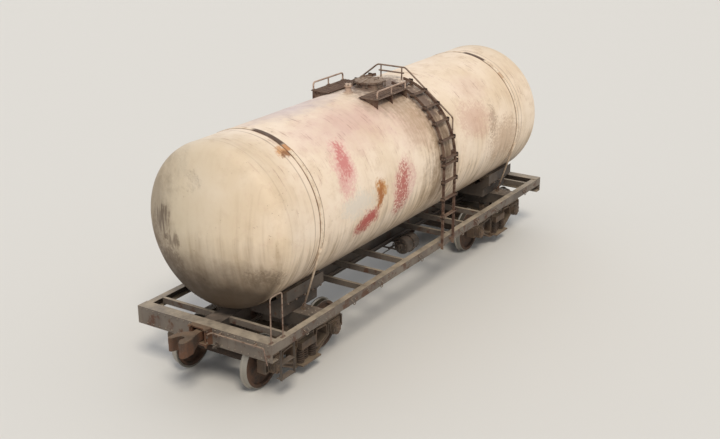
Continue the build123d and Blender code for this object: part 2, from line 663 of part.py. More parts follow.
# Safety valve on the top line of the tank.
VALVE_SECTION = (  # (radius, height over the tank)
    (0, -30), (95, -30), (95, 26), (62, 34), (56, 120), (84, 132), (84, 168), (40, 196), (0, 200),
)
with BuildPart() as safety_valve:
    with BuildSketch(Plane.XZ):
        with Locations((VALVE_X, TANK_TOP)):
            Polygon(*VALVE_SECTION, align=None)
    revolve(axis=Axis((VALVE_X, 0, 0), (0, 0, 1)))
    with Locations((VALVE_X, 0, TANK_AXIS_Z)):
        Cylinder(TANK_R + SEAT_GAP, 400, rotation=(0, 90, 0), mode=Mode.SUBTRACT)
safety_valve.part.label = "safety_valve"
export_step(safety_valve.part, "parts/safety_valve.step")

# Platform floor: a plate on each side of the manhole, on gussets that stand on the tank.
with BuildPart() as platform_floor:
    floor_len = FLOOR_X[1] - FLOOR_X[0]
    floor_mid = (FLOOR_X[0] + FLOOR_X[1]) / 2
    with BuildSketch(Plane.XY.offset(FLOOR_Z)):
        with Locations((floor_mid, (FLOOR_INNER_Y + FLOOR_OUTER_Y) / 2)):
            Rectangle(floor_len, FLOOR_OUTER_Y - FLOOR_INNER_Y)
    extrude(amount=-FLOOR_T)
    for gusset_x in (FLOOR_X[0] + 50, floor_mid, FLOOR_X[1] - 50):
        with BuildSketch(Plane.YZ.offset(gusset_x)):
            Polygon(
                (FLOOR_INNER_Y, FLOOR_Z - FLOOR_T), (FLOOR_OUTER_Y, FLOOR_Z - FLOOR_T),
                (FLOOR_OUTER_Y, FLOOR_Z - 250), (FLOOR_OUTER_Y - 60, FLOOR_Z - 250),
                (FLOOR_INNER_Y, FLOOR_Z - 80), align=None,
            )
        extrude(amount=5, both=True)
    with Locations((0, 0, TANK_AXIS_Z)):
        Cylinder(TANK_R + SEAT_GAP, TANK_STRAIGHT, rotation=(0, 90, 0), mode=Mode.SUBTRACT)
    mirror(about=Plane.XZ)
platform_floor.part.label = "platform_floor"
export_step(platform_floor.part, "parts/platform_floor.step")

# Guard rails: a pipe along each edge of the platform, on three posts.
with BuildPart() as guard_rails:
    rail_y = FLOOR_OUTER_Y - PIPE_R - 6
    with BuildLine() as rail_path:
        FilletPolyline(
            (GUARD_RAIL_X[0], rail_y, FLOOR_Z + SEAT_GAP),
            (GUARD_RAIL_X[0], rail_y, GUARD_RAIL_Z),
            (GUARD_RAIL_X[1], rail_y, GUARD_RAIL_Z),
            (GUARD_RAIL_X[1], rail_y, FLOOR_Z + SEAT_GAP),
            radius=55,
        )
    with BuildSketch(Plane(origin=rail_path.line @ 0, z_dir=rail_path.line % 0)):
        Circle(PIPE_R)
    sweep()
    with BuildSketch(Plane.XY.offset(FLOOR_Z + SEAT_GAP)):
        with Locations(((GUARD_RAIL_X[0] + GUARD_RAIL_X[1]) / 2, rail_y)):
            Circle(PIPE_R - 2)
    extrude(amount=GUARD_RAIL_Z - FLOOR_Z)
    mirror(about=Plane.XZ)
guard_rails.part.label = "guard_rails"
export_step(guard_rails.part, "parts/guard_rails.step")

# Ladders: two stringers bent over the tank and dropped to the side sill, with flat steps.
STRINGER_R = (TANK_R + STRINGER_IN, TANK_R + STRINGER_IN + STRINGER_W)
LADDER_FOOT_Z = SILL_TOP - SIDE_SILL_H + 10
STEP_MID_R = TANK_R + STRINGER_IN + STRINGER_W / 2 + 6
STEP_PLACES = [
    on_tank(STEP_FIRST_ANGLE + n * STEP_PITCH_ANGLE, STEP_MID_R) for n in range(STEP_COUNT_CURVED)
] + [(STEP_MID_R, TANK_AXIS_Z - n * STEP_PITCH) for n in range(STEP_COUNT_STRAIGHT)]
for name, side in SIDES:
    with BuildPart() as ladder:
        for stringer_x in LADDER_X:
            with BuildSketch(Plane.YZ.offset(stringer_x)):
                with BuildLine():
                    arc_in = CenterArc((0, TANK_AXIS_Z), STRINGER_R[0], 0, 90 - LADDER_START_ANGLE)
                    arc_out = CenterArc((0, TANK_AXIS_Z), STRINGER_R[1], 0, 90 - LADDER_START_ANGLE)
                    Line(arc_in @ 1, arc_out @ 1)
                    Polyline(
                        arc_in @ 0, (STRINGER_R[0], LADDER_FOOT_Z),
                        (STRINGER_R[1], LADDER_FOOT_Z), arc_out @ 0,
                    )
                make_face()
            extrude(amount=STRINGER_T / 2, both=True)
            for foot_angle in (20.0, 52.0, 84.0):
                foot_y, foot_z = on_tank(foot_angle, TANK_R + STRINGER_IN / 2 + 4)
                with Locations(Location((stringer_x, foot_y, foot_z), (-foot_angle, 0, 0))):
                    Box(STRINGER_T + 22, 46, STRINGER_IN + 20)
            with Locations((stringer_x, (UNDERFRAME_HALF_W + STRINGER_R[0]) / 2, SILL_TOP - 70)):
                Box(STRINGER_T, STRINGER_R[0] - UNDERFRAME_HALF_W - 2 * SEAT_GAP + 8, 60)
        for step_y, step_z in STEP_PLACES:
            with Locations(((LADDER_X[0] + LADDER_X[1]) / 2, step_y, step_z)):
                Box(LADDER_X[1] - LADDER_X[0] + 2 * STEP_OVERHANG, STEP_W, STEP_T)
            for tip_x in (LADDER_X[0] - STEP_OVERHANG, LADDER_X[1] + STEP_OVERHANG):
                with Locations((tip_x, step_y, step_z + 6)):
                    Box(STEP_TIP_T, STEP_W, STEP_TIP_H)
        with Locations((0, 0, TANK_AXIS_Z)):
            Cylinder(TANK_R + SEAT_GAP, TANK_STRAIGHT, rotation=(0, 90, 0), mode=Mode.SUBTRACT)
        with Locations((0, 0, SILL_TOP - SIDE_SILL_H)):
            Box(TANK_STRAIGHT, 2 * (UNDERFRAME_HALF_W + SEAT_GAP), 2.4 * SIDE_SILL_H,
                mode=Mode.SUBTRACT)
        if side < 0:
            mirror(about=Plane.XZ, mode=Mode.REPLACE)
    ladder.part.label = f"ladder_{name}"
    export_step(ladder.part, f"parts/ladder_{name}.step")

# Ladder handrail: one bent pipe over both ladders, with a short middle bar on two posts.
HANDRAIL_X = LADDER_X[1] + STEP_OVERHANG + STEP_TIP_T / 2 + PIPE_R + SEAT_GAP
HANDRAIL_DROP_Y = TANK_R - HANDRAIL_INSET
with BuildPart() as ladder_handrail:
    with BuildLine() as hand_path:
        FilletPolyline(
            (HANDRAIL_X, -HANDRAIL_DROP_Y, HANDRAIL_END_Z),
            (HANDRAIL_X, -HANDRAIL_DROP_Y, HANDRAIL_KNEE_Z),
            (HANDRAIL_X, -HANDRAIL_HALF_W, HANDRAIL_TOP_Z),
            (HANDRAIL_X, HANDRAIL_HALF_W, HANDRAIL_TOP_Z),
            (HANDRAIL_X, HANDRAIL_DROP_Y, HANDRAIL_KNEE_Z),
            (HANDRAIL_X, HANDRAIL_DROP_Y, HANDRAIL_END_Z),
            radius=120,
        )
    with BuildSketch(Plane(origin=hand_path.line @ 0, z_dir=hand_path.line % 0)):
        Circle(PIPE_R)
    sweep()
    with BuildSketch(Plane.XZ.offset(-HANDRAIL_LOW_HALF_W)):
        with Locations((HANDRAIL_X, HANDRAIL_LOW_Z)):
            Circle(PIPE_R)
    extrude(amount=2 * HANDRAIL_LOW_HALF_W)
    with BuildSketch(Plane.XY.offset(TANK_TOP - 120)):
        with Locations((HANDRAIL_X, -HANDRAIL_POST_Y), (HANDRAIL_X, HANDRAIL_POST_Y)):
            Circle(PIPE_R - 2)
    extrude(amount=HANDRAIL_TOP_Z - TANK_TOP + 120)
    for across in (-1, 1):
        with Locations((HANDRAIL_X, across * (HANDRAIL_DROP_Y - 20), HANDRAIL_END_Z + 20)):
            Box(2 * PIPE_R, 60, 40)
    with Locations((0, 0, TANK_AXIS_Z)):
        Cylinder(TANK_R + SEAT_GAP, TANK_STRAIGHT, rotation=(0, 90, 0), mode=Mode.SUBTRACT)
ladder_handrail.part.label = "ladder_handrail"
export_step(ladder_handrail.part, "parts/ladder_handrail.step")

# Straps over the tank at each bolster, drawn down by threaded rods.
for letter, side in ENDS:
    cx = CENTRE_X[letter]
    strap_r = TANK_R + SEAT_GAP
    with BuildPart() as strap:
        with BuildSketch(Plane.YZ.offset(cx)):
            with BuildLine():
                sweep_angle = 2 * STRAP_END_ANGLE
                strap_in = CenterArc((0, TANK_AXIS_Z), strap_r, 90 - STRAP_END_ANGLE, sweep_angle)
                strap_out = CenterArc((0, TANK_AXIS_Z), strap_r + STRAP_T, 90 - STRAP_END_ANGLE,
                                      sweep_angle)
                Line(strap_in @ 0, strap_out @ 0)
                Line(strap_in @ 1, strap_out @ 1)
            make_face()
        extrude(amount=STRAP_W / 2, both=True)
        for across in (-1, 1):
            end_y, end_z = on_tank(across * STRAP_END_ANGLE, strap_r + STRAP_ROD_R)
            lean = math.radians(STRAP_END_ANGLE - 90)
            reach = (end_z - SILL_TOP - STRAP_ROD_R) / math.cos(lean)
            foot_y = across * (abs(end_y) - reach * math.sin(lean))
            with BuildLine() as rod_line:
                Line((cx, end_y + across * math.sin(lean) * 60, end_z + math.cos(lean) * 60),
                     (cx, foot_y, SILL_TOP + STRAP_ROD_R))
            with BuildSketch(Plane(origin=rod_line.line @ 0, z_dir=rod_line.line % 0)):
                Circle(STRAP_ROD_R)
            sweep()
            with Locations((cx, foot_y, SILL_TOP + SEAT_GAP + 24)):
                Box(70, 70, 48)
    strap.part.label = f"strap_{letter}"
    export_step(strap.part, f"parts/strap_{letter}.step")

# Timber bars along the cradles, shaped to the tank.
with BuildPart() as timber_saddles:
    for letter, side in ENDS:
        for low_angle, high_angle in TIMBER_ANGLES:
            with BuildSketch(Plane.YZ.offset(CENTRE_X[letter])):
                with BuildLine():
                    start = 90 - high_angle
                    spread = high_angle - low_angle
                    wood_in = CenterArc((0, TANK_AXIS_Z), TANK_R + SEAT_GAP, start, spread)
                    wood_out = CenterArc((0, TANK_AXIS_Z), TANK_R + TIMBER_T, start, spread)
                    Line(wood_in @ 0, wood_out @ 0)
                    Line(wood_in @ 1, wood_out @ 1)
                make_face()
            extrude(amount=CRADLE_HALF_LEN - CRADLE_PLATE_T, both=True)
    mirror(about=Plane.XZ)
timber_saddles.part.label = "timber_saddles"
export_step(timber_saddles.part, "parts/timber_saddles.step")

# Centre sill: a hat section with its feet turned out.
with BuildPart() as centre_sill:
    sill_half_len = HALF_FRAME - END_BEAM_T
    with BuildSketch(Plane.YZ):
        Polygon(*mirrored((
            (0, SILL_TOP),
            (SILL_WEB_Y, SILL_TOP),
            (SILL_WEB_Y, SILL_BOTTOM + SILL_FLANGE_T),
            (SILL_WEB_Y + SILL_FOOT_W, SILL_BOTTOM + SILL_FLANGE_T),
            (SILL_WEB_Y + SILL_FOOT_W, SILL_BOTTOM),
            (SILL_WEB_Y - SILL_WEB_T, SILL_BOTTOM),
            (SILL_WEB_Y - SILL_WEB_T, SILL_TOP - SILL_FLANGE_T),
            (0, SILL_TOP - SILL_FLANGE_T),
        )), align=None)
    extrude(amount=sill_half_len, both=True)
    with Locations((0, 0, SILL_TOP)):
        Box(290, 290, 4 * SILL_FLANGE_T, mode=Mode.SUBTRACT)
centre_sill.part.label = "centre_sill"
export_step(centre_sill.part, "parts/centre_sill.step")

# Body bolsters: tapered arms round the sill, a plate under it, the tank cradles and the pivot.
PIVOT_TOP = SILL_BOTTOM - BODY_BOLSTER_PLATE_T
BOWL_FLOOR = BOGIE_BOLSTER_TOP
BEARER_END_Y = UNDERFRAME_HALF_W - SIDE_SILL_W - SEAT_GAP
CRADLE_R = TANK_R + TIMBER_T + SEAT_GAP
for letter, side in ENDS:
    cx = CENTRE_X[letter]
    with BuildPart() as body_bolster:
        with BuildSketch(Plane.YZ.offset(cx)):
            Polygon(*mirrored((
                (0, SILL_BOTTOM - SEAT_GAP),
                (SILL_WEB_Y + SILL_FOOT_W + SEAT_GAP, SILL_BOTTOM - SEAT_GAP),
                (SILL_WEB_Y + SILL_FOOT_W + SEAT_GAP, SILL_BOTTOM + SILL_FLANGE_T + SEAT_GAP),
                (SILL_WEB_Y + SEAT_GAP, SILL_BOTTOM + SILL_FLANGE_T + SEAT_GAP),
                (SILL_WEB_Y + SEAT_GAP, SILL_TOP),
                (BEARER_END_Y, SILL_TOP),
                (BEARER_END_Y, BODY_BOLSTER_END_BOTTOM),
                (400, PIVOT_TOP),
                (0, PIVOT_TOP),
            )), align=None)
        extrude(amount=BODY_BOLSTER_HALF_W, both=True)
        with BuildSketch(Plane.YZ.offset(cx)) as cradle_face:
            with BuildLine():
                low = math.degrees(math.asin(CRADLE_INNER_Y / CRADLE_R))
                high = math.degrees(math.asin(CRADLE_OUTER_Y / CRADLE_R))
                bed = CenterArc((0, TANK_AXIS_Z), CRADLE_R, low - 90, high - low)
                Polyline(
                    bed @ 0, (CRADLE_INNER_Y, SILL_TOP), (CRADLE_FOOT_Y, SILL_TOP),
                    (CRADLE_FOOT_Y, SILL_TOP + 170), (CRADLE_OUTER_Y, SILL_TOP + 330),
                    bed @ 1,
                )
            make_face()
        extrude(amount=CRADLE_HALF_LEN, both=True)
        with BuildSketch(Plane.YZ.offset(cx)) as cradle_inside:
            add(cradle_face.sketch_local)
            offset(amount=-CRADLE_PLATE_T, kind=Kind.INTERSECTION)
        bay_len = CRADLE_HALF_LEN - 1.5 * CRADLE_PLATE_T
        for bay_side in (-1, 1):
            bay_place = Location((bay_side * (bay_len + CRADLE_PLATE_T) / 2, 0, 0))
            extrude(cradle_inside.sketch.moved(bay_place), amount=bay_len / 2, both=True,
                    mode=Mode.SUBTRACT)
        for hole_x in (-370, -130, 130, 370):
            with Locations((cx + hole_x, CRADLE_FOOT_Y + 60, SILL_TOP + 235)):
                Cylinder(CRADLE_HOLE_R, 260, rotation=(90, 0, 0), mode=Mode.SUBTRACT)
        mirror(about=Plane.XZ)
        with BuildSketch(Plane.XY.offset(BOWL_FLOOR + SEAT_GAP)):
            with Locations((cx, 0)):
                Circle(BOWL_R - 1)
        extrude(amount=PIVOT_TOP - BOWL_FLOOR)
        with BuildSketch(Plane.XY.offset(SIDE_BEARING_TOP + SIDE_BEARING_GAP)):
            with Locations((cx, SIDE_BEARING_Y), (cx, -SIDE_BEARING_Y)):
                Rectangle(260, 130)
        extrude(until=Until.NEXT)
        with BuildSketch(Plane.XY.offset(JACK_PAD_Z)):
            with Locations((cx, JACK_PAD_Y), (cx, -JACK_PAD_Y)):
                Rectangle(JACK_PAD_W, JACK_PAD_W)
        extrude(until=Until.NEXT)
        with Locations((cx, PIPE_LINE_Y, PIPE_LINE_Z)):
            Cylinder(PIPE_LINE_R + SEAT_GAP, 2 * BODY_BOLSTER_HALF_W + 20, rotation=(0, 90, 0),
                     mode=Mode.SUBTRACT)
    body_bolster.part.label = f"body_bolster_{letter}"
    export_step(body_bolster.part, f"parts/body_bolster_{letter}.step")

# Centre paws, which tie the tank to the sill in the middle of the car.
with BuildPart() as centre_paws:
    with BuildSketch(Plane.YZ.offset(PAW_X[0])):
        with BuildLine():
            paw_r = TANK_R + SEAT_GAP
            paw_angle = math.degrees(math.asin(PAW_HALF_W / paw_r))
            paw_arc = CenterArc((0, TANK_AXIS_Z), paw_r, -90 - paw_angle, 2 * paw_angle)
            Polyline(paw_arc @ 0, (-SILL_WEB_Y, SILL_TOP), (SILL_WEB_Y, SILL_TOP), paw_arc @ 1)
        make_face()
    extrude(amount=PAW_X[1] - PAW_X[0])
    mirror(about=Plane.YZ)
centre_paws.part.label = "centre_paws"
export_step(centre_paws.part, "parts/centre_paws.step")

# End beams: channels across the car, opened for the coupler, and their strikers.
for letter, side in ENDS:
    with BuildPart() as end_beam:
        with BuildSketch(Plane.XZ):
            Polygon(
                (side * HALF_FRAME, END_BEAM_BOTTOM), (side * HALF_FRAME, END_BEAM_TOP),
                (side * (HALF_FRAME - END_BEAM_DEPTH), END_BEAM_TOP),
                (side * (HALF_FRAME - END_BEAM_DEPTH), END_BEAM_TOP - END_BEAM_T),
                (side * (HALF_FRAME - END_BEAM_T), END_BEAM_TOP - END_BEAM_T),
                (side * (HALF_FRAME - END_BEAM_T), END_BEAM_BOTTOM + END_BEAM_T),
                (side * (HALF_FRAME - END_BEAM_FOOT_W), END_BEAM_BOTTOM + END_BEAM_T),
                (side * (HALF_FRAME - END_BEAM_FOOT_W), END_BEAM_BOTTOM),
                align=None,
            )
        extrude(amount=UNDERFRAME_HALF_W, both=True)
        with Locations((side * HALF_FRAME, 0, COUPLER_Z)):
            Box(4 * END_BEAM_T, 2 * STRIKER_OPEN_HALF_W, 2 * STRIKER_OPEN_HALF_H,
                mode=Mode.SUBTRACT)
        with Locations((side * HALF_FRAME, PIPE_END_Y, PIPE_END_Z)):
            Cylinder(PIPE_LINE_R + SEAT_GAP, 4 * END_BEAM_T, rotation=(0, 90, 0), mode=Mode.SUBTRACT)
    end_beam.part.label = f"end_beam_{letter}"
    export_step(end_beam.part, f"parts/end_beam_{letter}.step")

    with BuildPart() as striker:
        with BuildSketch(Plane.YZ.offset(side * HALF_FRAME)):
            with Locations((0, COUPLER_Z)):
                Rectangle(2 * (STRIKER_OPEN_HALF_W + STRIKER_RIM),
                          2 * (STRIKER_OPEN_HALF_H + STRIKER_RIM - 32))
        with BuildSketch(Plane.YZ.offset(side * (HALF_FRAME + STRIKER_DEPTH))):
            with Locations((0, COUPLER_Z)):
                Rectangle(2 * (STRIKER_OPEN_HALF_W + STRIKER_RIM / 2),
                          2 * (STRIKER_OPEN_HALF_H + STRIKER_RIM / 2 - 8))
        loft()
        with Locations((side * (HALF_FRAME + STRIKER_DEPTH / 2), 0, COUPLER_Z)):
            Box(2 * STRIKER_DEPTH, 2 * STRIKER_OPEN_HALF_W, 2 * STRIKER_OPEN_HALF_H,
                mode=Mode.SUBTRACT)
    striker.part.label = f"striker_{letter}"
    export_step(striker.part, f"parts/striker_{letter}.step")

# Side sills: channels with their backs outwards.
for name, side in SIDES:
    with BuildPart() as side_sill:
        low = SILL_TOP - SIDE_SILL_H
        inner_y = UNDERFRAME_HALF_W - SIDE_SILL_W
        back_y = UNDERFRAME_HALF_W - SIDE_SILL_T
        with BuildSketch(Plane.YZ):
            Polygon(
                (side * inner_y, low), (side * UNDERFRAME_HALF_W, low),
                (side * UNDERFRAME_HALF_W, SILL_TOP), (side * inner_y, SILL_TOP),
                (side * inner_y, SILL_TOP - SIDE_SILL_T), (side * back_y, SILL_TOP - SIDE_SILL_T),
                (side * back_y, low + SIDE_SILL_T), (side * inner_y, low + SIDE_SILL_T),
                align=None,
            )
        extrude(amount=HALF_FRAME - END_BEAM_T, both=True)
    side_sill.part.label = f"side_sill_{name}"
    export_step(side_sill.part, f"parts/side_sill_{name}.step")

# Cross bearers from the centre sill to the side sills.
with BuildPart() as cross_bearers:
    for bearer_x in BEARER_X:
        bearer_start = SILL_WEB_Y + SEAT_GAP
        with Locations((bearer_x, (bearer_start + BEARER_END_Y) / 2, SILL_TOP - BEARER_H / 2)):
            Box(BEARER_W, BEARER_END_Y - bearer_start, BEARER_H)
    mirror(about=Plane.XZ)
cross_bearers.part.label = "cross_bearers"
export_step(cross_bearers.part, "parts/cross_bearers.step")

# Couplers: the head's outline from above, with the big tooth, the mouth and the small tooth.
PIN_X = COUPLING_LINE - COUPLER_PIN_BACK
HEAD_OUTLINE = (  # (ahead of the coupling line, across), for the +X end
    (-330, SHANK_HALF_W),
    (-262, 138),
    (-190, 168),
    (-120, 205),
    (40, 215),
    (118, 188),
    (138, 150),
    (130, 108),
    (60, 62),
    (-20, 70),
    (-95, 60),
    (-130, 10),
    (-120, -55),
    (-60, -95),
    (20, -120),
    (52, -145),
    (52, -190),
    (20, -215),
    (-120, -205),
    (-190, -168),
    (-262, -138),
    (-330, -SHANK_HALF_W),
)
BIG_TOOTH = ((-150, 60), (-95, 60), (-20, 70), (60, 62), (130, 108), (138, 150), (118, 188),
             (40, 215), (-120, 205), (-190, 168))
for letter, side in ENDS:
    with BuildPart() as coupler:
        with BuildSketch(Plane.XY.offset(COUPLER_Z)):
            Polygon(
                *[(side * (COUPLING_LINE + ahead), side * across) for ahead, across in HEAD_OUTLINE],
                align=None,
            )
        extrude(amount=HEAD_HALF_H - 26, both=True)
        with BuildSketch(Plane.XY.offset(COUPLER_Z)):
            Polygon(
                *[(side * (COUPLING_LINE + ahead), side * across) for ahead, across in BIG_TOOTH],
                align=None,
            )
        extrude(amount=HEAD_HALF_H, both=True)
        chamfer(coupler.edges().group_by(Axis.Z)[-1], HEAD_CHAMFER)
        chamfer(coupler.edges().group_by(Axis.Z)[0], HEAD_CHAMFER)
        with BuildSketch(Plane.YZ.offset(side * (COUPLING_LINE - 262))):
            with Locations((0, COUPLER_Z)):
                Rectangle(2 * 138, 2 * (HEAD_HALF_H - 26))
        with BuildSketch(Plane.YZ.offset(side * (COUPLING_LINE - 440))):
            with Locations((0, COUPLER_Z)):
                Rectangle(2 * SHANK_HALF_W, 2 * SHANK_HALF_H)
        loft()
        shank_start = PIN_X - SHANK_HALF_W
        shank_end = COUPLING_LINE - 430
        with Locations((side * (shank_start + shank_end) / 2, 0, COUPLER_Z)):
            Box(shank_end - shank_start, 2 * SHANK_HALF_W, 2 * SHANK_HALF_H)
        with Locations((side * (COUPLING_LINE - 96), 0, COUPLER_Z)):
            Box(70, 80, 150)
        with Locations((side * PIN_X, 0, COUPLER_Z)):
            Cylinder(YOKE_PIN_R + PIN_GAP, 400, mode=Mode.SUBTRACT)
    coupler.part.label = f"coupler_{letter}"
    export_step(coupler.part, f"parts/coupler_{letter}.step")

# Draft gear in the sill: yoke, cushion and the pin that the coupler swings on.
with BuildPart() as draft_gears:
    gear_end = PIN_X - SHANK_HALF_W - 30
    with Locations((gear_end - DRAFT_GEAR_LEN / 2, 0, COUPLER_Z)):
        Box(DRAFT_GEAR_LEN, 2 * (SILL_WEB_Y - SILL_WEB_T - SEAT_GAP), 2 * SHANK_HALF_H + 40)
    for up in (-1, 1):
        with Locations((gear_end + 80, 0, COUPLER_Z + up * (SHANK_HALF_H + 22))):
            Box(2 * (PIN_X - gear_end) + 10, 2 * SHANK_HALF_W, 28)
    with Locations((PIN_X, 0, COUPLER_Z)):
        Cylinder(YOKE_PIN_R, 2 * SHANK_HALF_H + 60)
    mirror(about=Plane.YZ)
draft_gears.part.label = "draft_gears"
export_step(draft_gears.part, "parts/draft_gears.step")

# Bottom outlet: a stub from the tank through the sill, with its bore open downwards.
with BuildPart() as drain_valve:
    with BuildSketch(Plane.XZ):
        with BuildLine():
            Polyline(
                (0, TANK_AXIS_Z - TANK_R + 20), (DRAIN_TOP_R, TANK_AXIS_Z - TANK_R + 20),
                (DRAIN_TOP_R, TANK_AXIS_Z - TANK_R - 24), (105, TANK_AXIS_Z - TANK_R - 24),
                (105, SILL_BOTTOM - 10), (128, SILL_BOTTOM - 10), (128, SILL_BOTTOM - 60),
                (98, SILL_BOTTOM - 60), (98, SILL_BOTTOM - 150), (75, SILL_BOTTOM - 150),
                (75, SILL_BOTTOM - 20), (0, SILL_BOTTOM - 20), close=True,
            )
        make_face()
    revolve(axis=Axis.Z)
    with Locations((0, 0, TANK_AXIS_Z)):
        Cylinder(TANK_R + SEAT_GAP, 4 * DRAIN_TOP_R, rotation=(0, 90, 0), mode=Mode.SUBTRACT)
drain_valve.part.label = "drain_valve"
export_step(drain_valve.part, "parts/drain_valve.step")

# Air brake: cylinder, reservoir, distributor, the train pipe and the pull rods.
FOOT_EDGE_Y = SILL_WEB_Y + SILL_FOOT_W + SEAT_GAP
with BuildPart() as brake_cylinder:
    with Locations((CYLINDER_X, -GEAR_Y, SILL_BOTTOM - 20)):
        Cylinder(CYLINDER_R, CYLINDER_LEN, rotation=(0, 90, 0))
        fillet(brake_cylinder.edges().filter_by(GeomType.CIRCLE), CYLINDER_END_R)
        Cylinder(CYLINDER_R + 22, 30, rotation=(0, 90, 0))
        Cylinder(60, CYLINDER_LEN + 160, rotation=(0, 90, 0))
    with Locations((CYLINDER_X, -(FOOT_EDGE_Y + GEAR_Y) / 2, SILL_BOTTOM + 34)):
        Box(300, GEAR_Y - FOOT_EDGE_Y, 60)
brake_cylinder.part.label = "brake_cylinder"
export_step(brake_cylinder.part, "parts/brake_cylinder.step")

with BuildPart() as air_reservoir:
    with Locations((RESERVOIR_X, GEAR_Y, SILL_BOTTOM + 20)):
        Cylinder(RESERVOIR_R, RESERVOIR_LEN + 110, rotation=(0, 90, 0))
        fillet(air_reservoir.edges().filter_by(GeomType.CIRCLE), RESERVOIR_END_R)
    for hanger_x in (RESERVOIR_X - 380, RESERVOIR_X + 380):
        with Locations((hanger_x, (FOOT_EDGE_Y + GEAR_Y) / 2, SILL_BOTTOM + 34)):
            Box(60, GEAR_Y - FOOT_EDGE_Y, 50)
air_reservoir.part.label = "air_reservoir"
export_step(air_reservoir.part, "parts/air_reservoir.step")

with BuildPart() as air_distributor:
    with Locations((-350, GEAR_Y - 90, SILL_BOTTOM + 10)):
        Box(200, 220, 220)
        fillet(air_distributor.edges(), DISTRIBUTOR_EDGE_R)
        Cylinder(85, 420, rotation=(0, 90, 0))
    with Locations((-350, (FOOT_EDGE_Y + GEAR_Y) / 2, SILL_BOTTOM + 34)):
        Box(120, GEAR_Y - FOOT_EDGE_Y, 60)
air_distributor.part.label = "air_distributor"
export_step(air_distributor.part, "parts/air_distributor.step")

with BuildPart() as brake_pipe:
    pipe_end_x = HALF_FRAME + PIPE_END_REACH
    with BuildLine() as pipe_path:
        FilletPolyline(
            (-pipe_end_x, PIPE_END_Y, PIPE_END_Z),
            (-HALF_FRAME + 260, PIPE_END_Y, PIPE_END_Z),
            (-HALF_FRAME + 520, PIPE_LINE_Y, PIPE_LINE_Z),
            (HALF_FRAME - 520, PIPE_LINE_Y, PIPE_LINE_Z),
            (HALF_FRAME - 260, PIPE_END_Y, PIPE_END_Z),
            (pipe_end_x, PIPE_END_Y, PIPE_END_Z),
            radius=180,
        )
    with BuildSketch(Plane(origin=pipe_path.line @ 0, z_dir=pipe_path.line % 0)):
        Circle(PIPE_LINE_R)
    sweep()
    for side in (-1, 1):
        with Locations((side * (HALF_FRAME + 52), PIPE_END_Y, PIPE_END_Z)):
            Cylinder(34, 74, rotation=(0, 90, 0))
            Box(26, 26, 110)
brake_pipe.part.label = "brake_pipe"
export_step(brake_pipe.part, "parts/brake_pipe.step")

# Horizontal brake levers at the cylinder and the pull rods to both bogies.
with BuildPart() as pull_rods:
    for rod_side in (-1, 1):
        lever_x = CYLINDER_X + rod_side * (CYLINDER_LEN / 2 + PUSH_ROD_LEN + BRAKE_LEVER_W / 2)
        with Locations((lever_x, (PULL_ROD_Y - GEAR_Y) / 2, ROD_Z)):
            Box(BRAKE_LEVER_W, GEAR_Y + PULL_ROD_Y + 60, BRAKE_LEVER_T)
        with BuildLine() as rod_path:
            Line((lever_x, PULL_ROD_Y, ROD_Z), (rod_side * PULL_ROD_END_X, 0, ROD_Z))
        with BuildSketch(Plane(origin=rod_path.line @ 0, z_dir=rod_path.line % 0)):
            Circle(ROD_R)
        sweep()
        with Locations((lever_x, -GEAR_Y, SILL_BOTTOM - 20)):
            Box(BRAKE_LEVER_W, 40, 2 * (SILL_BOTTOM - 20 - ROD_Z) + BRAKE_LEVER_T)
    lever_x0 = CYLINDER_X - CYLINDER_LEN / 2 - PUSH_ROD_LEN
    lever_x1 = CYLINDER_X + CYLINDER_LEN / 2 + PUSH_ROD_LEN
    with Locations((CYLINDER_X, -GEAR_Y / 2 - 40, ROD_Z - 22)):
        Box(lever_x1 - lever_x0 + 60, 36, 24)
pull_rods.part.label = "pull_rods"
export_step(pull_rods.part, "parts/pull_rods.step")

# Uncoupling levers: a bent rod in two brackets on each end beam, its handle at the corner.
for letter, side in ENDS:
    rod_x = side * (HALF_FRAME + LEVER_STAND_OFF)
    with BuildPart() as uncoupling_lever:
        with BuildLine() as rod_path:
            FilletPolyline(
                (rod_x, side * (UNDERFRAME_HALF_W - 60), UNCOUPLING_Z - 300),
                (rod_x, side * (UNDERFRAME_HALF_W - 130), UNCOUPLING_Z),
                (rod_x, side * UNCOUPLING_INNER_Y, UNCOUPLING_Z),
                (rod_x + side * 120, side * UNCOUPLING_INNER_Y, UNCOUPLING_Z + 10),
                radius=40,
            )
        with BuildSketch(Plane(origin=rod_path.line @ 0, z_dir=rod_path.line % 0)):
            Circle(UNCOUPLING_ROD_R)
        sweep()
        inner_bracket_y = UNCOUPLING_INNER_Y + LEVER_BRACKET_SET
        outer_bracket_y = UNDERFRAME_HALF_W - LEVER_BRACKET_INSET
        for bracket_y in (inner_bracket_y, outer_bracket_y):
            with Locations((side * (HALF_FRAME + SEAT_GAP + (LEVER_STAND_OFF + 14) / 2),
                            side * bracket_y, UNCOUPLING_Z)):
                Box(LEVER_STAND_OFF + 14, 16, 46)
    uncoupling_lever.part.label = f"uncoupling_lever_{letter}"
    export_step(uncoupling_lever.part, f"parts/uncoupling_lever_{letter}.step")

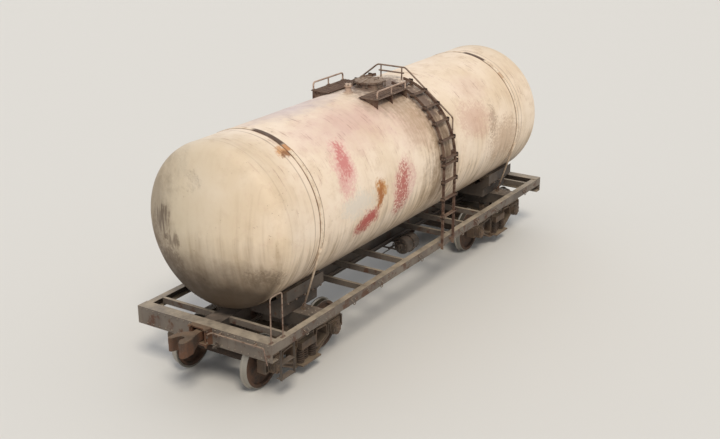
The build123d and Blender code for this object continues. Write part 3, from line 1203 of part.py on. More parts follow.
# Corner footsteps under the side sills and grab irons over them, at opposite corners.
with BuildPart() as footsteps:
    for side in (-1, 1):
        step_y = side * (UNDERFRAME_HALF_W - 22)
        for leg in (-1, 1):
            with Locations((side * (FOOTSTEP_X + leg * FOOTSTEP_HALF_W), step_y,
                            (SIDE_SILL_BOTTOM + FOOTSTEP_LOW) / 2)):
                Box(12, 44, SIDE_SILL_BOTTOM - FOOTSTEP_LOW - 2 * SEAT_GAP)
        for tread_z in (FOOTSTEP_LOW + 20, (SIDE_SILL_BOTTOM + FOOTSTEP_LOW) / 2):
            with Locations((side * FOOTSTEP_X, side * (UNDERFRAME_HALF_W - 60), tread_z)):
                Box(2 * FOOTSTEP_HALF_W, 120, 10)
footsteps.part.label = "footsteps"
export_step(footsteps.part, "parts/footsteps.step")

with BuildPart() as grab_irons:
    for side in (-1, 1):
        grab_y = side * (UNDERFRAME_HALF_W - 60)
        with BuildLine() as grab_path:
            FilletPolyline(
                (side * (HALF_FRAME - 60), grab_y, END_BEAM_TOP + SEAT_GAP),
                (side * (HALF_FRAME - 60), grab_y, END_BEAM_TOP + GRAB_H),
                (side * (HALF_FRAME - 60 - GRAB_LEN), grab_y, END_BEAM_TOP + GRAB_H),
                (side * (HALF_FRAME - 60 - GRAB_LEN), grab_y, SILL_TOP + SEAT_GAP),
                radius=60,
            )
        with BuildSketch(Plane(origin=grab_path.line @ 0, z_dir=grab_path.line % 0)):
            Circle(UNCOUPLING_ROD_R)
        sweep()
grab_irons.part.label = "grab_irons"
export_step(grab_irons.part, "parts/grab_irons.step")
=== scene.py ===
"""Dresses the railway tank car: fittings, finishes, floor, lights and camera."""

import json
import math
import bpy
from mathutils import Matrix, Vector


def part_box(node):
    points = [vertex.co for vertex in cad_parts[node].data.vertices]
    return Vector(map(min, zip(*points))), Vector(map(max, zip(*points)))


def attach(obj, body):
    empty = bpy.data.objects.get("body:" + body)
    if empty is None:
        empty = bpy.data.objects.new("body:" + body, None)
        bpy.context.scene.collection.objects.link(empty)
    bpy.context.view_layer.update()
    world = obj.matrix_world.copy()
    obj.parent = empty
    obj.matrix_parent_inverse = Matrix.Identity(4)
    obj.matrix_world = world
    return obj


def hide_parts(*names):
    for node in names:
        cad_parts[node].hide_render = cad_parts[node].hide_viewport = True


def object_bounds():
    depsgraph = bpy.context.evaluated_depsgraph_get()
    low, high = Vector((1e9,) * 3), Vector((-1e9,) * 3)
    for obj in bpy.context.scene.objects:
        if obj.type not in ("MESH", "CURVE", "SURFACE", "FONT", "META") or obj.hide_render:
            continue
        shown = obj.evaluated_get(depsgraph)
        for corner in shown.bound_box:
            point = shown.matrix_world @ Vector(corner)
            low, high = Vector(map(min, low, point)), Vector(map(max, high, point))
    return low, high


bl_info = {
    "name": "Railway Tank Car",
    "version": (1, 0, 0),
    "blender": (4, 5, 0),
    "location": "3D View > Sidebar > Tank Car",
    "description": "Adds the fittings and finishes to the tank car's fixed frame",
    "category": "Object",
}

import bpy
from bpy.props import FloatProperty, FloatVectorProperty, IntProperty, PointerProperty
from mathutils import Matrix, Vector
from mathutils.bvhtree import BVHTree

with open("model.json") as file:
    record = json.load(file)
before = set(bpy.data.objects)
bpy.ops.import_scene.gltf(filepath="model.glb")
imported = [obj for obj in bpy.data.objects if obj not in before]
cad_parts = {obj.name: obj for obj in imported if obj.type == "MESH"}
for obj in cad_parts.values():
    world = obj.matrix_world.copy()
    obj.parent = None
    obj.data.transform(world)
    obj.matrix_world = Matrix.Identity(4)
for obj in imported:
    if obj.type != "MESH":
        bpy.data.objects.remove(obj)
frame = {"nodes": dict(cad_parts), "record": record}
CAD_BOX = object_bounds()


def centre_of(node):
    """The middle of a part's box, in X, Y and Z."""
    return [(low + high) / 2 for low, high in zip(*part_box(node))]


# Places in the frame
SHELL_LOW, SHELL_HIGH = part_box("tank_barrel")
SHELL_R = (SHELL_HIGH.y - SHELL_LOW.y) / 2
AXIS_Z = SHELL_HIGH.z - SHELL_R
DISH_DEPTH = 0.600
DISH_JOINT_X = SHELL_HIGH.x - DISH_DEPTH
STRAP_X = centre_of("strap_b")[0]
STRAP_HALF_W = (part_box("strap_b")[1].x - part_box("strap_b")[0].x) / 2
BOGIE_X = {"a": -STRAP_X, "b": STRAP_X}
LADDER_X = centre_of("ladder_left")[0]
LADDER_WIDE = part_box("ladder_left")[1].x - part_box("ladder_left")[0].x
FLOOR_LOW, FLOOR_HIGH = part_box("platform_floor")
LID_RIM_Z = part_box("hatch_lid")[0].z
AXLE_Z = centre_of("wheels_1")[2]
HALF_BASE = abs(centre_of("wheels_2")[0] - centre_of("wheels_1")[0]) / 2
FLANGE_R = (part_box("wheels_1")[1].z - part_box("wheels_1")[0].z) / 2
FLANGE_H = 0.028
TREAD_R = FLANGE_R - FLANGE_H
SILL_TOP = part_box("side_sill_left")[1].z
BEAM_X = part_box("end_beam_b")[1].x
STRIKER_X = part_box("striker_b")[1].x
COUPLER_Z = centre_of("striker_b")[2]
VALVE_X = centre_of("safety_valve")[0]
VALVE_LOW, VALVE_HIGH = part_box("safety_valve")
VALVE_R = (VALVE_HIGH.x - VALVE_LOW.x) / 2

# Sizes and places that the frame's boxes don't give, in metres and in degrees from the top
NECK_R = 0.272
PLATE_SEAM_X, LONG_SEAM = 2.10, 118
STRAP_END = 108
ROD_R, THREAD_PITCH = 0.018, 0.009
LID_RING_R, LID_GRIP_Y = 0.286, 0.165
GUARD_Y = 0.742
GUARD_POSTS_X = (-0.900, -0.375, 0.150)
TREADS_Y, TREADS_LONG = 0.545, 0.345
# the ladder's steps: the first, how far apart round the tank, and how far apart straight down
STEP_FIRST, STEP_TURN, STEP_DROP = 18, 13.5, 0.365
STEP_R = SHELL_R + 0.074
SWING_BOLTS_R, VALVE_BOLTS_R, BOX_BOLTS_R, OUTLET_BOLTS_R = 0.319, 0.079, 0.098, 0.113
# a nest's three columns of springs along the car, each with its springs' places across it
SPRING_R, INNER_SPRING_R, SPRING_APART, SPRINGS_Y = 0.084, 0.042, 0.185, 1.018
SPRING_COLUMNS = ((-1, (-0.092, 0.092)), (0, (-0.138, 0.046)), (1, (-0.092, 0.092)))
GREASE_EDGE_R, GREASE_THICK_R = 0.150, 0.120
BEARERS_X = (0.90, 1.65, 2.42, 4.85)
HOOKS_X = (-4.45, -2.95, -2.0, -0.45, 1.30, 2.0, 2.95, 4.45)
DRUM_Y, DRUM_Z = -0.565, 0.898
DRUM_BOLTS = ((0.189, 10), (0.115, 8))
TRAIN_PIPE_Y, TRAIN_PIPE_Z = -0.312, 1.013
PIPE_CLIPS_X = (-4.2, -3.2, -2.4, -1.2, 1.2, 2.4, 3.2, 4.2)
COCK_Y, COCK_Z = -0.330, 0.943
FLOOR_R = 150.0
CAMERA_AT, CAMERA_AIM = Vector((-18.692, -11.745, 9.578)), Vector((-0.35, 0.0, 1.62))
X, Y, Z = Vector((1, 0, 0)), Vector((0, 1, 0)), Vector((0, 0, 1))
LEFT, RIGHT = 1, -1
TURN = 2 * math.pi
BEND_STEPS = 5


def linear(code):
    """An sRGB hex colour as the linear values that Blender works in."""
    parts = [int(code[start : start + 2], 16) / 255 for start in (0, 2, 4)]
    return tuple(p / 12.92 if p <= 0.04045 else ((p + 0.055) / 1.055) ** 2.4 for p in parts)


def rgba(code):
    """The same colour with full opacity, for a node's socket."""
    return (*linear(code), 1.0)


def per(millimetres):
    """A texture's scale for features of that size, in a scene measured in metres."""
    return 1000 / millimetres


# Mesh making
def at(point, z_axis=(0, 0, 1), x_axis=None):
    """A place: a matrix at the point, with Z and, as nearly as can be, X as given."""
    up = Vector(z_axis).normalized()
    side = Vector(x_axis) if x_axis is not None else up.orthogonal()
    side = (side - up * side.dot(up)).normalized()
    turned = Matrix((side, up.cross(side), up)).transposed().to_4x4()
    return Matrix.Translation(Vector(point)) @ turned


def level(point):
    """A place at the point, with Z up and X along the car."""
    return at(point, Z, X)


def circle(radius, count, start=0.0):
    """Pairs of coordinates round a circle, the first a share of a step on."""
    turns = [TURN * (n + start) / count for n in range(count)]
    return [(radius * math.cos(turn), radius * math.sin(turn)) for turn in turns]


def bolt_circle(centre, radius, count, first, second):
    """Points round a circle, from half a step past the first direction towards the second."""
    return [centre + (first * c + second * s) * radius for c, s in circle(1, count, 0.5)]


def bent(corners, radius):
    """A path through corners, each rounded as a pipe bender leaves it."""
    corners = [Vector(corner) for corner in corners]
    path = [corners[0]]
    for before, corner, after in zip(corners, corners[1:], corners[2:]):
        back, on = (before - corner).normalized(), (after - corner).normalized()
        cut = min(radius, (before - corner).length / 2, (after - corner).length / 2)
        for n in range(BEND_STEPS + 1):
            t = n / BEND_STEPS
            path.append(corner + back * cut * (1 - t) ** 2 + on * cut * t**2)
    return [*path, corners[-1]]


def around_shell(x, degrees, lift=0.0):
    """A place on the barrel at that many degrees from the top, towards +Y, Z facing out."""
    angle = math.radians(degrees)
    out = Vector((0, math.sin(angle), math.cos(angle)))
    return at(Vector((x, 0, AXIS_Z)) + out * (SHELL_R + lift), out, (1, 0, 0))


surfaces = {}


def seat(node, start, toward):
    """The place where a line from start, going toward, meets a part of the frame."""
    if node not in surfaces:
        mesh = frame["nodes"][node].data
        corners = [vertex.co.copy() for vertex in mesh.vertices]
        surfaces[node] = BVHTree.FromPolygons(corners, [p.vertices[:] for p in mesh.polygons])
    way = Vector(toward).normalized()
    hit, normal, _, _ = surfaces[node].ray_cast(Vector(start), way)
    if hit is None:
        raise RuntimeError(f"{node}: nothing from {tuple(start)} toward {tuple(toward)}")
    return at(hit, normal if normal.dot(way) < 0 else -normal)


class Shape:
    """Plates, turned parts and round bars that become the mesh of one piece."""

    def __init__(self):
        self.points = []
        self.faces = []

    def skin(self, rings, joined=False):
        """Covers a row of rings, all with the same number of points."""
        start, count = len(self.points), len(rings[0])
        for ring in rings:
            self.points.extend(ring)
        for index in range(len(rings) if joined else len(rings) - 1):
            low = start + index * count
            high = start + (index + 1) % len(rings) * count
            for side in range(count):
                after = (side + 1) % count
                self.faces.append((low + side, low + after, high + after, high + side))
        if not joined:
            last = start + (len(rings) - 1) * count
            self.faces.append(tuple(range(start + count - 1, start - 1, -1)))
            self.faces.append(tuple(range(last, last + count)))

    def turned(self, place, profile, sides):
        """A part turned about the place's Z, from pairs of radius and height."""
        ways = circle(1, sides)
        self.skin([[place @ Vector((c * r, s * r, h)) for c, s in ways] for r, h in profile])

    def bar(self, path, radius, sides, joined=False):
        """A round bar along a path of points."""
        path = [Vector(point) for point in path]
        rings, across, last = [], None, len(path) - 1
        for index, point in enumerate(path):
            before = path[index - 1] if index or joined else point
            after = path[(index + 1) % len(path)] if joined or index < last else point
            along = (after - before).normalized()
            across = along.orthogonal() if across is None else across
            across = (across - along * across.dot(along)).normalized()
            up = along.cross(across)
            rings.append([point + (across * c + up * s) * radius for c, s in circle(1, sides)])
        self.skin(rings, joined)

    def plate(self, place, size, chamfer=0.002):
        """A flat bar or plate with broken edges, standing on the place."""
        x, y, height = size[0] / 2, size[1] / 2, size[2]
        cut = min(chamfer, x / 2, y / 2, height / 3)

        def outline(inset, z):
            a, b = x - inset, y - inset
            corners = ((a, b - cut), (a - cut, b), (cut - a, b), (-a, b - cut),
                       (-a, cut - b), (cut - a, -b), (a - cut, -b), (a, cut - b))
            return [place @ Vector((*corner, z)) for corner in corners]

        self.skin([outline(cut, 0), outline(0, cut), outline(0, height - cut),
                   outline(cut, height)])

    def bolt(self, place, across, stud=0.0):
        """A hexagon on its washer, with the end of the thread standing out of it."""
        r, tall = across / math.sqrt(3), across * 0.55
        self.turned(place, [(r * 1.22, -0.002), (r * 1.22, across * 0.09), (r, across * 0.1)], 14)
        rim = across * 0.1
        self.turned(place, [(r, rim), (r, rim + tall * 0.85), (r * 0.86, rim + tall)], 6)
        if stud:
            top = rim + tall + stud
            self.turned(place, [(r * 0.52, rim), (r * 0.52, top - 0.002), (r * 0.42, top)], 10)

    def rivet(self, place, across):
        """A domed rivet head."""
        r = across / 2
        self.turned(place, [(r, -0.001), (r * 0.97, r * 0.25), (r * 0.75, r * 0.6),
                            (r * 0.35, r * 0.8)], 10)

    def piece(self, name, body, slot, finish, crease=35):
        """Makes the object, gives it its finish and lets it move with its body."""
        mesh = bpy.data.meshes.new(name)
        mesh.from_pydata(self.points, [], self.faces)
        mesh.update()
        mesh.shade_smooth()
        mesh.set_sharp_from_angle(angle=math.radians(crease))
        made = bpy.data.objects.new(name, mesh)
        bpy.context.scene.collection.objects.link(made)
        made.data.materials.append(bpy.data.materials[finish])
        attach(made, body)
        return made


# Materials
def add(tree, kind, feed=(), **settings):
    """Adds a shader node, with its settings and with values or links for its inputs."""
    made = tree.nodes.new(f"ShaderNode{kind}")
    for name, value in settings.items():
        setattr(made, name, value)
    for socket, value in dict(feed).items():
        if isinstance(value, bpy.types.NodeSocket):
            tree.links.new(value, made.inputs[socket])
        else:
            made.inputs[socket].default_value = value
    return made.outputs


def blank(name):
    """A new material and its tree, with nothing in it."""
    material = bpy.data.materials.new(name)
    material.use_nodes = True
    material.node_tree.nodes.clear()
    return material.node_tree


def patch(tree, place, spot, centre, radii, ragged, soft, turn=(0, 0, 0)):
    """Where a blot lies: 1 inside an egg-shaped space whose edge the spot noise breaks up."""
    inside = add(tree, "Mapping", {0: place, "Location": centre, "Rotation": turn, "Scale": radii},
                 vector_type="TEXTURE")[0]
    depth = add(tree, "TexGradient", {0: inside}, gradient_type="SPHERICAL")[1]
    near = add(tree, "MapRange", {0: depth, 1: 0.0, 2: 0.3})[0]
    broken = add(tree, "Math", {0: spot, 1: ragged * 2, 2: -ragged}, operation="MULTIPLY_ADD")[0]
    depth = add(tree, "Math", {0: depth, 1: broken})[0]
    depth = add(tree, "MapRange", {0: depth, 1: 0.0, 2: soft})[0]
    return add(tree, "Math", {0: depth, 1: near}, operation="MULTIPLY")[0]


def tint(tree, under, over, cover, strength, span=None):
    """Lays a colour over another where it covers, at no more than its strength.

    Colours are hex codes or links. With a span, the cover grows from its first to its last value.
    """
    under, over = (rgba(side) if isinstance(side, str) else side for side in (under, over))
    if span:
        cover = add(tree, "MapRange", {0: cover, 1: span[0], 2: span[1]})[0]
    if strength < 1:
        cover = add(tree, "Math", {0: cover, 1: strength}, operation="MULTIPLY")[0]
    return add(tree, "Mix", {0: cover, 6: under, 7: over}, data_type="RGBA")[2]


def rubbed_corners(tree, spot, radius, sharp):
    """Where a part's edges are rubbed, broken up by the spot noise."""
    soft = add(tree, "Bevel", {"Radius": radius}, samples=3)[0]
    hard = add(tree, "NewGeometry")["Normal"]
    same = add(tree, "VectorMath", {0: soft, 1: hard}, operation="DOT_PRODUCT")["Value"]
    corner = add(tree, "MapRange", {0: same, 1: 0.97, 2: sharp})[0]
    return add(tree, "Math", {0: corner, 1: spot}, operation="MULTIPLY")[0]


def close(tree, colour, roughness, reliefs, metallic=0.0):
    """Ends a material: its shader, and the grain that the light picks out.

    Each relief is a strength, a depth in metres, its height and, where it goes inward, True.
    """
    below = {}
    for strength, depth, height, *inward in reliefs:
        bump = add(tree, "Bump", {"Strength": strength, "Distance": depth, "Height": height,
                                  **below}, invert=bool(inward))[0]
        below = {"Normal": bump}
    shader = add(tree, "BsdfPrincipled", {"Base Color": colour, "Roughness": roughness,
                                          "Metallic": metallic, **below})[0]
    add(tree, "OutputMaterial", {0: shader})


def tank_enamel(name):
    """Alkyd enamel, sprayed cream over rolled steel sheet and left out for years.

    It is chalky and hardly shines, browner where rain and spills ran down, and darkest low.
    """
    tree = blank(name)
    place = add(tree, "TexCoord")["Object"]
    x, y, z = add(tree, "SeparateXYZ", {0: place})
    above = add(tree, "Math", {0: z, 1: AXIS_Z}, operation="SUBTRACT")[0]
    angle = add(tree, "Math", {0: y, 1: above}, operation="ARCTAN2")[0]
    far = add(tree, "Math", {0: x}, operation="ABSOLUTE")[0]

    # runs go round the barrel and straight down the dished ends, 100 mm wide
    round_barrel = add(tree, "Math", {0: angle, 1: 0.13}, operation="MULTIPLY")[0]
    barrel_way = add(tree, "CombineXYZ", {0: x, 1: round_barrel})[0]
    dish_way = add(tree, "Mapping", {0: place, "Scale": (0.1, 1.0, 0.09)})[0]
    on_dish = add(tree, "MapRange", {0: far, 1: 4.80, 2: 4.95})[0]
    run_way = add(tree, "Mix", {0: on_dish, 4: barrel_way, 5: dish_way}, data_type="VECTOR")[1]
    runs = add(tree, "TexNoise", {0: run_way, "Scale": per(100), "Detail": 5.0, "Roughness": 0.58})[0]
    drips = add(tree, "MapRange", {0: runs, 1: 0.50, 2: 0.72})[0]
    broad = add(tree, "TexNoise", {0: place, "Scale": per(1100), "Detail": 4.0, "Roughness": 0.55})[0]
    cloud = add(tree, "TexNoise", {0: place, "Scale": per(300), "Detail": 7.0, "Roughness": 0.62})[0]
    spot = add(tree, "TexNoise", {0: place, "Scale": per(110), "Detail": 8.0, "Roughness": 0.68})[0]
    fleck = add(tree, "TexNoise", {0: place, "Scale": per(48), "Detail": 5.0, "Roughness": 0.62})[0]

    # marks have wandering outlines, by up to 100 mm
    drift = add(tree, "TexNoise",
                {0: place, "Scale": per(330), "Detail": 7.0, "Roughness": 0.68})["Color"]
    drift = add(tree, "VectorMath", {0: drift, 1: (0.5, 0.5, 0.5)}, operation="SUBTRACT")[0]
    wander = add(tree, "VectorMath", {0: drift, 1: (0.55, 0.55, 0.55), 2: place},
                 operation="MULTIPLY_ADD")[0]

    # sun-bleached and yellowed cream, mottled, greyer on the dished ends; the grey fades out towards
    # the right-hand side as painted light and is full on the left as painted shade
    colour = tint(tree, "f6e3cd", "e7d0b3", broad, 1.0, (0.38, 0.66))
    colour = tint(tree, colour, "c9b091", cloud, 0.50, (0.52, 0.78))
    colour = tint(tree, colour, "dcb9a5", spot, 0.30, (0.52, 0.72))
    ends = add(tree, "MapRange", {0: far, 1: STRAP_X, 2: SHELL_HIGH.x})[0]
    # painted light and shade: the ends' grey is cut to a quarter on the right-hand side and kept whole
    # on the left
    left = add(tree, "MapRange", {0: y, 1: -1.2, 2: 0.6, 3: 0.25, 4: 1.0})[0]
    ends = add(tree, "Math", {0: ends, 1: left}, operation="MULTIPLY")[0]
    colour = tint(tree, colour, "c9bba2", ends, 0.90)

    # old red and blue-grey paint that shows through on the crown, in wide clouds
    for hue, centre, radii, strength in (
        ("d9b2ab", (-1.9, -0.75, AXIS_Z + 1.30), (2.4, 0.75, 1.0), 0.60),
        ("cbbabd", (-2.3, 0.35, AXIS_Z + 1.50), (2.0, 0.75, 0.5), 0.70),
        ("d9b2ab", (-0.2, -1.15, AXIS_Z + 0.85), (1.3, 0.50, 0.7), 0.40),
        ("d6b4a8", (2.4, -0.95, AXIS_Z + 1.10), (0.9, 0.50, 0.5), 0.35),
    ):
        cover = patch(tree, wander, cloud, centre, radii, ragged=0.6, soft=0.8)
        colour = tint(tree, colour, hue, cover, strength)

    # scratches 15 mm wide, aslant round the crown, down to a reddish old coat
    slanted = add(tree, "Mapping",
                  {0: barrel_way, "Rotation": (0, 0, math.radians(12)), "Scale": (1.0, 0.55, 1.0)})[0]
    scratch = add(tree, "TexNoise", {0: slanted, "Scale": per(34), "Detail": 3.0, "Roughness": 0.55})[0]
    scratch = add(tree, "MapRange", {0: scratch, 1: 0.575, 2: 0.65})[0]
    crown = add(tree, "MapRange", {0: z, 1: AXIS_Z - 0.1, 2: AXIS_Z + 0.9})[0]
    crown = add(tree, "Math", {0: crown, 1: add(tree, "MapRange", {0: cloud, 1: 0.46, 2: 0.62})[0]},
                operation="MULTIPLY")[0]
    scratch = add(tree, "Math", {0: scratch, 1: crown}, operation="MULTIPLY")[0]
    scratch = add(tree, "Math", {0: scratch, 1: add(tree, "MapRange", {0: on_dish, 3: 1, 4: 0})[0]},
                  operation="MULTIPLY")[0]
    colour = tint(tree, colour, "a97f70", scratch, 0.60)

    # road and rail dirt in runs, here and there high up and everywhere lower down
    lower = add(tree, "MapRange", {0: z, 1: AXIS_Z + 1.0, 2: AXIS_Z - 1.0, 3: -0.15, 4: 0.95})[0]
    patchy = add(tree, "MapRange", {0: broad, 1: 0.42, 2: 0.62, 3: -0.25, 4: 0.45})[0]
    lower = add(tree, "Math", {0: lower, 1: patchy}, use_clamp=True)[0]
    run_cover = add(tree, "Math", {0: drips, 1: lower}, operation="MULTIPLY")[0]
    fainter = add(tree, "MapRange", {0: on_dish, 3: 1.0, 4: 0.55})[0]
    run_cover = add(tree, "Math", {0: run_cover, 1: fainter}, operation="MULTIPLY")[0]
    colour = tint(tree, colour, "a08361", run_cover, 0.62)

    # what was spilled at the manhole, down both sides under the platform and ladder
    streaky = add(tree, "Math", {0: runs, 1: spot})[0]
    streaky = add(tree, "Math", {0: streaky, 1: 0.5}, operation="MULTIPLY")[0]
    for side in (LEFT, RIGHT):
        for centre, radii, hue, ragged, strength in (
            ((-0.30, side * 0.55, AXIS_Z + 1.42), (1.10, 0.85, 0.60), "8a705b", 0.9, 0.85),
            ((-0.05, side * 1.15, AXIS_Z + 0.95), (0.85, 0.70, 1.10), "b39779", 1.3, 0.75),
            ((0.55, side * 1.15, AXIS_Z + 0.60), (0.55, 0.85, 1.60), "8f7760", 1.1, 0.85),
            ((0.35, side * 1.50, AXIS_Z - 0.35), (0.95, 0.50, 1.30), "8d7458", 1.3, 0.80),
            ((0.55, side * 1.35, AXIS_Z + 0.30), (0.32, 0.60, 1.10), "6f5a47", 1.6, 0.75),
        ):
            cover = patch(tree, wander, streaky, centre, radii, ragged=ragged, soft=0.9)
            colour = tint(tree, colour, hue, cover, strength)

    # trodden dirt round the manhole and under the ladders' top steps
    for centre, radii in (((0.10, 0.0, AXIS_Z + 1.50), (1.05, 0.95, 0.60)),
                          ((0.55, -0.80, AXIS_Z + 1.27), (0.42, 0.95, 0.70)),
                          ((0.55, 0.80, AXIS_Z + 1.27), (0.42, 0.95, 0.70))):
        cover = patch(tree, wander, spot, centre, radii, ragged=1.0, soft=0.55)
        colour = tint(tree, colour, "705c51", cover, 0.90)

    # single marks on the right-hand side, each about where the photograph has it
    for hue, mark_x, mark_z, radii, slant, ragged, strength in (
        ("d9d2c6", -2.75, 2.93, (0.70, 0.35, 0.30), 0.0, 0.80, 0.60),
        ("e2ada5", -2.90, 3.62, (0.42, 0.45, 0.78), 0.45, 0.90, 0.80),
        ("cb6f6d", -2.84, 3.74, (0.20, 0.40, 0.50), 0.45, 1.40, 0.72),
        ("c48a49", -1.96, 3.06, (0.30, 0.32, 0.20), 0.30, 0.70, 0.95),
        ("a8652c", -2.04, 2.90, (0.16, 0.32, 0.42), 0.35, 0.70, 0.95),
        ("b04a43", -2.40, 2.50, (0.50, 0.32, 0.30), -0.20, 0.90, 0.95),
        ("dcaea3", -1.12, 2.85, (0.52, 0.36, 0.75), 0.25, 0.90, 0.75),
        ("b25a50", -1.18, 2.78, (0.34, 0.34, 0.66), 0.20, 2.60, 0.85),
        ("94745c", 2.70, 3.25, (0.22, 0.32, 0.50), 0.35, 1.70, 0.55),
        ("cfa593", 1.95, 3.45, (0.90, 0.50, 0.55), 0.20, 1.00, 0.55),
        ("cf9863", -4.02, 4.15, (0.22, 0.28, 0.20), 0.0, 0.80, 0.90),
        ("8a5a35", -4.05, 4.10, (0.12, 0.22, 0.12), 0.0, 0.80, 0.85),
        ("b99a7e", 3.30, 2.70, (1.10, 0.50, 0.70), 0.10, 1.30, 0.60),
    ):
        rise = math.asin(max(-1.0, min(1.0, (mark_z - AXIS_Z) / SHELL_R)))
        centre = (mark_x, -SHELL_R * math.cos(rise), mark_z)
        cover = patch(tree, wander, fleck, centre, radii, ragged, 0.60, (-rise, slant, 0))
        colour = tint(tree, colour, hue, cover, strength)

    # painted shade over the left-hand side, and scuffs and dark spots low and left, on the near dished
    # end
    scrape = add(tree, "TexNoise", {0: dish_way, "Scale": per(42), "Detail": 4.0, "Roughness": 0.6})[0]
    for centre, radii, breaks, ragged, strength in (
        # the first blot is painted shade, darkening the left of the dished end away from the light
        ((-5.00, 1.20, 3.10), (0.70, 0.90, 1.60), cloud, 0.50, 0.50),
        ((-5.20, 0.98, 2.98), (0.35, 0.34, 0.34), scrape, 1.90, 0.80),
        ((-5.20, 0.86, 2.66), (0.35, 0.16, 0.16), fleck, 1.60, 0.80),
        ((-5.25, 0.60, 2.62), (0.35, 0.22, 0.24), scrape, 2.10, 0.75),
        ((-5.20, 0.78, 2.25), (0.35, 0.50, 0.30), fleck, 1.90, 0.60),
        ((-5.25, 0.35, 2.02), (0.35, 0.60, 0.14), fleck, 1.50, 0.70),
        ((-5.20, 0.05, 1.84), (0.35, 0.90, 0.10), cloud, 0.90, 0.55),
        ((-5.00, -1.05, 2.25), (0.45, 0.45, 0.25), fleck, 1.80, 0.50),
        ((-4.90, 1.20, 2.30), (0.50, 0.40, 0.95), fleck, 1.20, 0.55),
    ):
        cover = patch(tree, wander, breaks, centre, radii, ragged, 0.7)
        colour = tint(tree, colour, "5c4a39", cover, strength)

    # a dark line along each strap's edges, 24 mm wide, partly dirt and partly painted shadow of the
    # strap, and faint ones outside it and at the seam
    for line_x, strength in ((STRAP_X - STRAP_HALF_W - 0.012, 0.95),
                             (STRAP_X + STRAP_HALF_W + 0.012, 0.95),
                             (STRAP_X + 0.210, 0.40), (DISH_JOINT_X, 0.12)):
        off = add(tree, "Math", {0: far, 1: line_x}, operation="SUBTRACT")[0]
        off = add(tree, "Math", {0: off}, operation="ABSOLUTE")[0]
        line = add(tree, "MapRange", {0: off, 1: 0.020, 2: 0.008})[0]
        line = add(tree, "Math", {0: line, 1: cloud}, operation="MULTIPLY")[0]
        line = add(tree, "Math", {0: line, 1: 2.0}, operation="MULTIPLY", use_clamp=True)[0]
        colour = tint(tree, colour, "6b4a33", line, strength)

    # rust flecks 10 to 40 mm across where the paint is chipped
    chips = add(tree, "MapRange", {0: fleck, 1: 0.66, 2: 0.70})[0]
    rare = add(tree, "MapRange", {0: cloud, 1: 0.50, 2: 0.60})[0]
    chips = add(tree, "Math", {0: chips, 1: rare}, operation="MULTIPLY")[0]
    colour = tint(tree, colour, "7c5236", chips, 0.80)

    # thick grime underneath together with painted shade low on the tank, with a ragged upper edge,
    # higher up on the dished ends
    height = add(tree, "Math", {0: on_dish, 1: -0.50, 2: z}, operation="MULTIPLY_ADD")[0]
    reach = add(tree, "MapRange", {0: on_dish, 3: -0.9, 4: -0.6})[0]
    grime_and_shade_low = add(tree, "Math", {0: runs, 1: reach, 2: height}, operation="MULTIPLY_ADD")[0]
    colour = tint(tree, colour, "78624a", grime_and_shade_low, 0.92, (2.15, 1.05))
    # the near-black band at the bottom is grime and painted shade together
    deep_grime_and_shade = add(tree, "Math", {0: cloud, 1: -0.6, 2: height}, operation="MULTIPLY_ADD")[0]
    colour = tint(tree, colour, "3b2e21", deep_grime_and_shade, 0.86, (1.75, 1.05))

    rough = add(tree, "MapRange", {0: cloud, 1: 0.35, 2: 0.70, 3: 0.48, 4: 0.74})[0]
    # the sheet is a little wavy between its welds, and the spray left it pebbled
    sheet = add(tree, "TexNoise", {0: place, "Scale": per(700), "Detail": 2.0, "Roughness": 0.4})[0]
    reliefs = [(0.22, 0.05, sheet)]
    # two knocks, left and high on the near dished end
    for centre, radii in (((-5.10, 0.72, 3.86), (0.50, 0.46, 0.62)),
                          ((-5.20, 0.25, 3.72), (0.50, 0.30, 0.24))):
        knock = patch(tree, wander, cloud, centre, radii, ragged=0.15, soft=0.8)
        reliefs.append((0.6, 0.05, knock, True))
    # real pebbles are 2 mm, drawn 14 mm to show at this distance
    grain = add(tree, "TexNoise", {0: place, "Scale": per(14), "Detail": 3.0, "Roughness": 0.6})[0]
    close(tree, colour, rough, [*reliefs, (0.12, 0.004, grain)])


def strap_enamel(name):
    """The same cream enamel on rolled flat bar, worn to brown steel where the strap is walked on."""
    tree = blank(name)
    place = add(tree, "TexCoord")["Object"]
    spot = add(tree, "TexNoise", {0: place, "Scale": per(120), "Detail": 8.0, "Roughness": 0.66})[0]
    colour = tint(tree, "efdcc4", "cbb093", spot, 1.0, (0.45, 0.68))
    for hue, mark_x, first, last, half, strength in (
        ("5b473a", -STRAP_X, 3, 28, 0.40, 1.0), ("c07c3c", -STRAP_X, 28, 34, 0.13, 0.80),
        ("5b473a", STRAP_X, 4, 24, 0.40, 1.0), ("b98a5c", STRAP_X, 40, 47, 0.12, 0.6),
        ("5b473a", -STRAP_X, -62, -38, 0.34, 0.8),
    ):
        middle = math.radians((first + last) / 2)
        centre = (mark_x, -SHELL_R * math.sin(middle), AXIS_Z + SHELL_R * math.cos(middle))
        length = math.radians(last - first) / 2 * SHELL_R * 1.25
        cover = patch(tree, place, spot, centre, (half, length, 0.25), 0.45, 0.20, (middle, 0, 0))
        colour = tint(tree, colour, hue, cover, strength)
    z = add(tree, "SeparateXYZ", {0: place})[2]
    # darker towards the bottom, as on the tank: grime and painted shade together
    low = add(tree, "Math", {0: spot, 1: -0.8, 2: z}, operation="MULTIPLY_ADD")[0]
    colour = tint(tree, colour, "5f4a38", low, 0.9, (2.2, 1.1))
    rough = add(tree, "MapRange", {0: spot, 1: 0.3, 2: 0.7, 3: 0.50, 4: 0.80})[0]
    close(tree, colour, rough, [(0.3, 0.003, spot)])


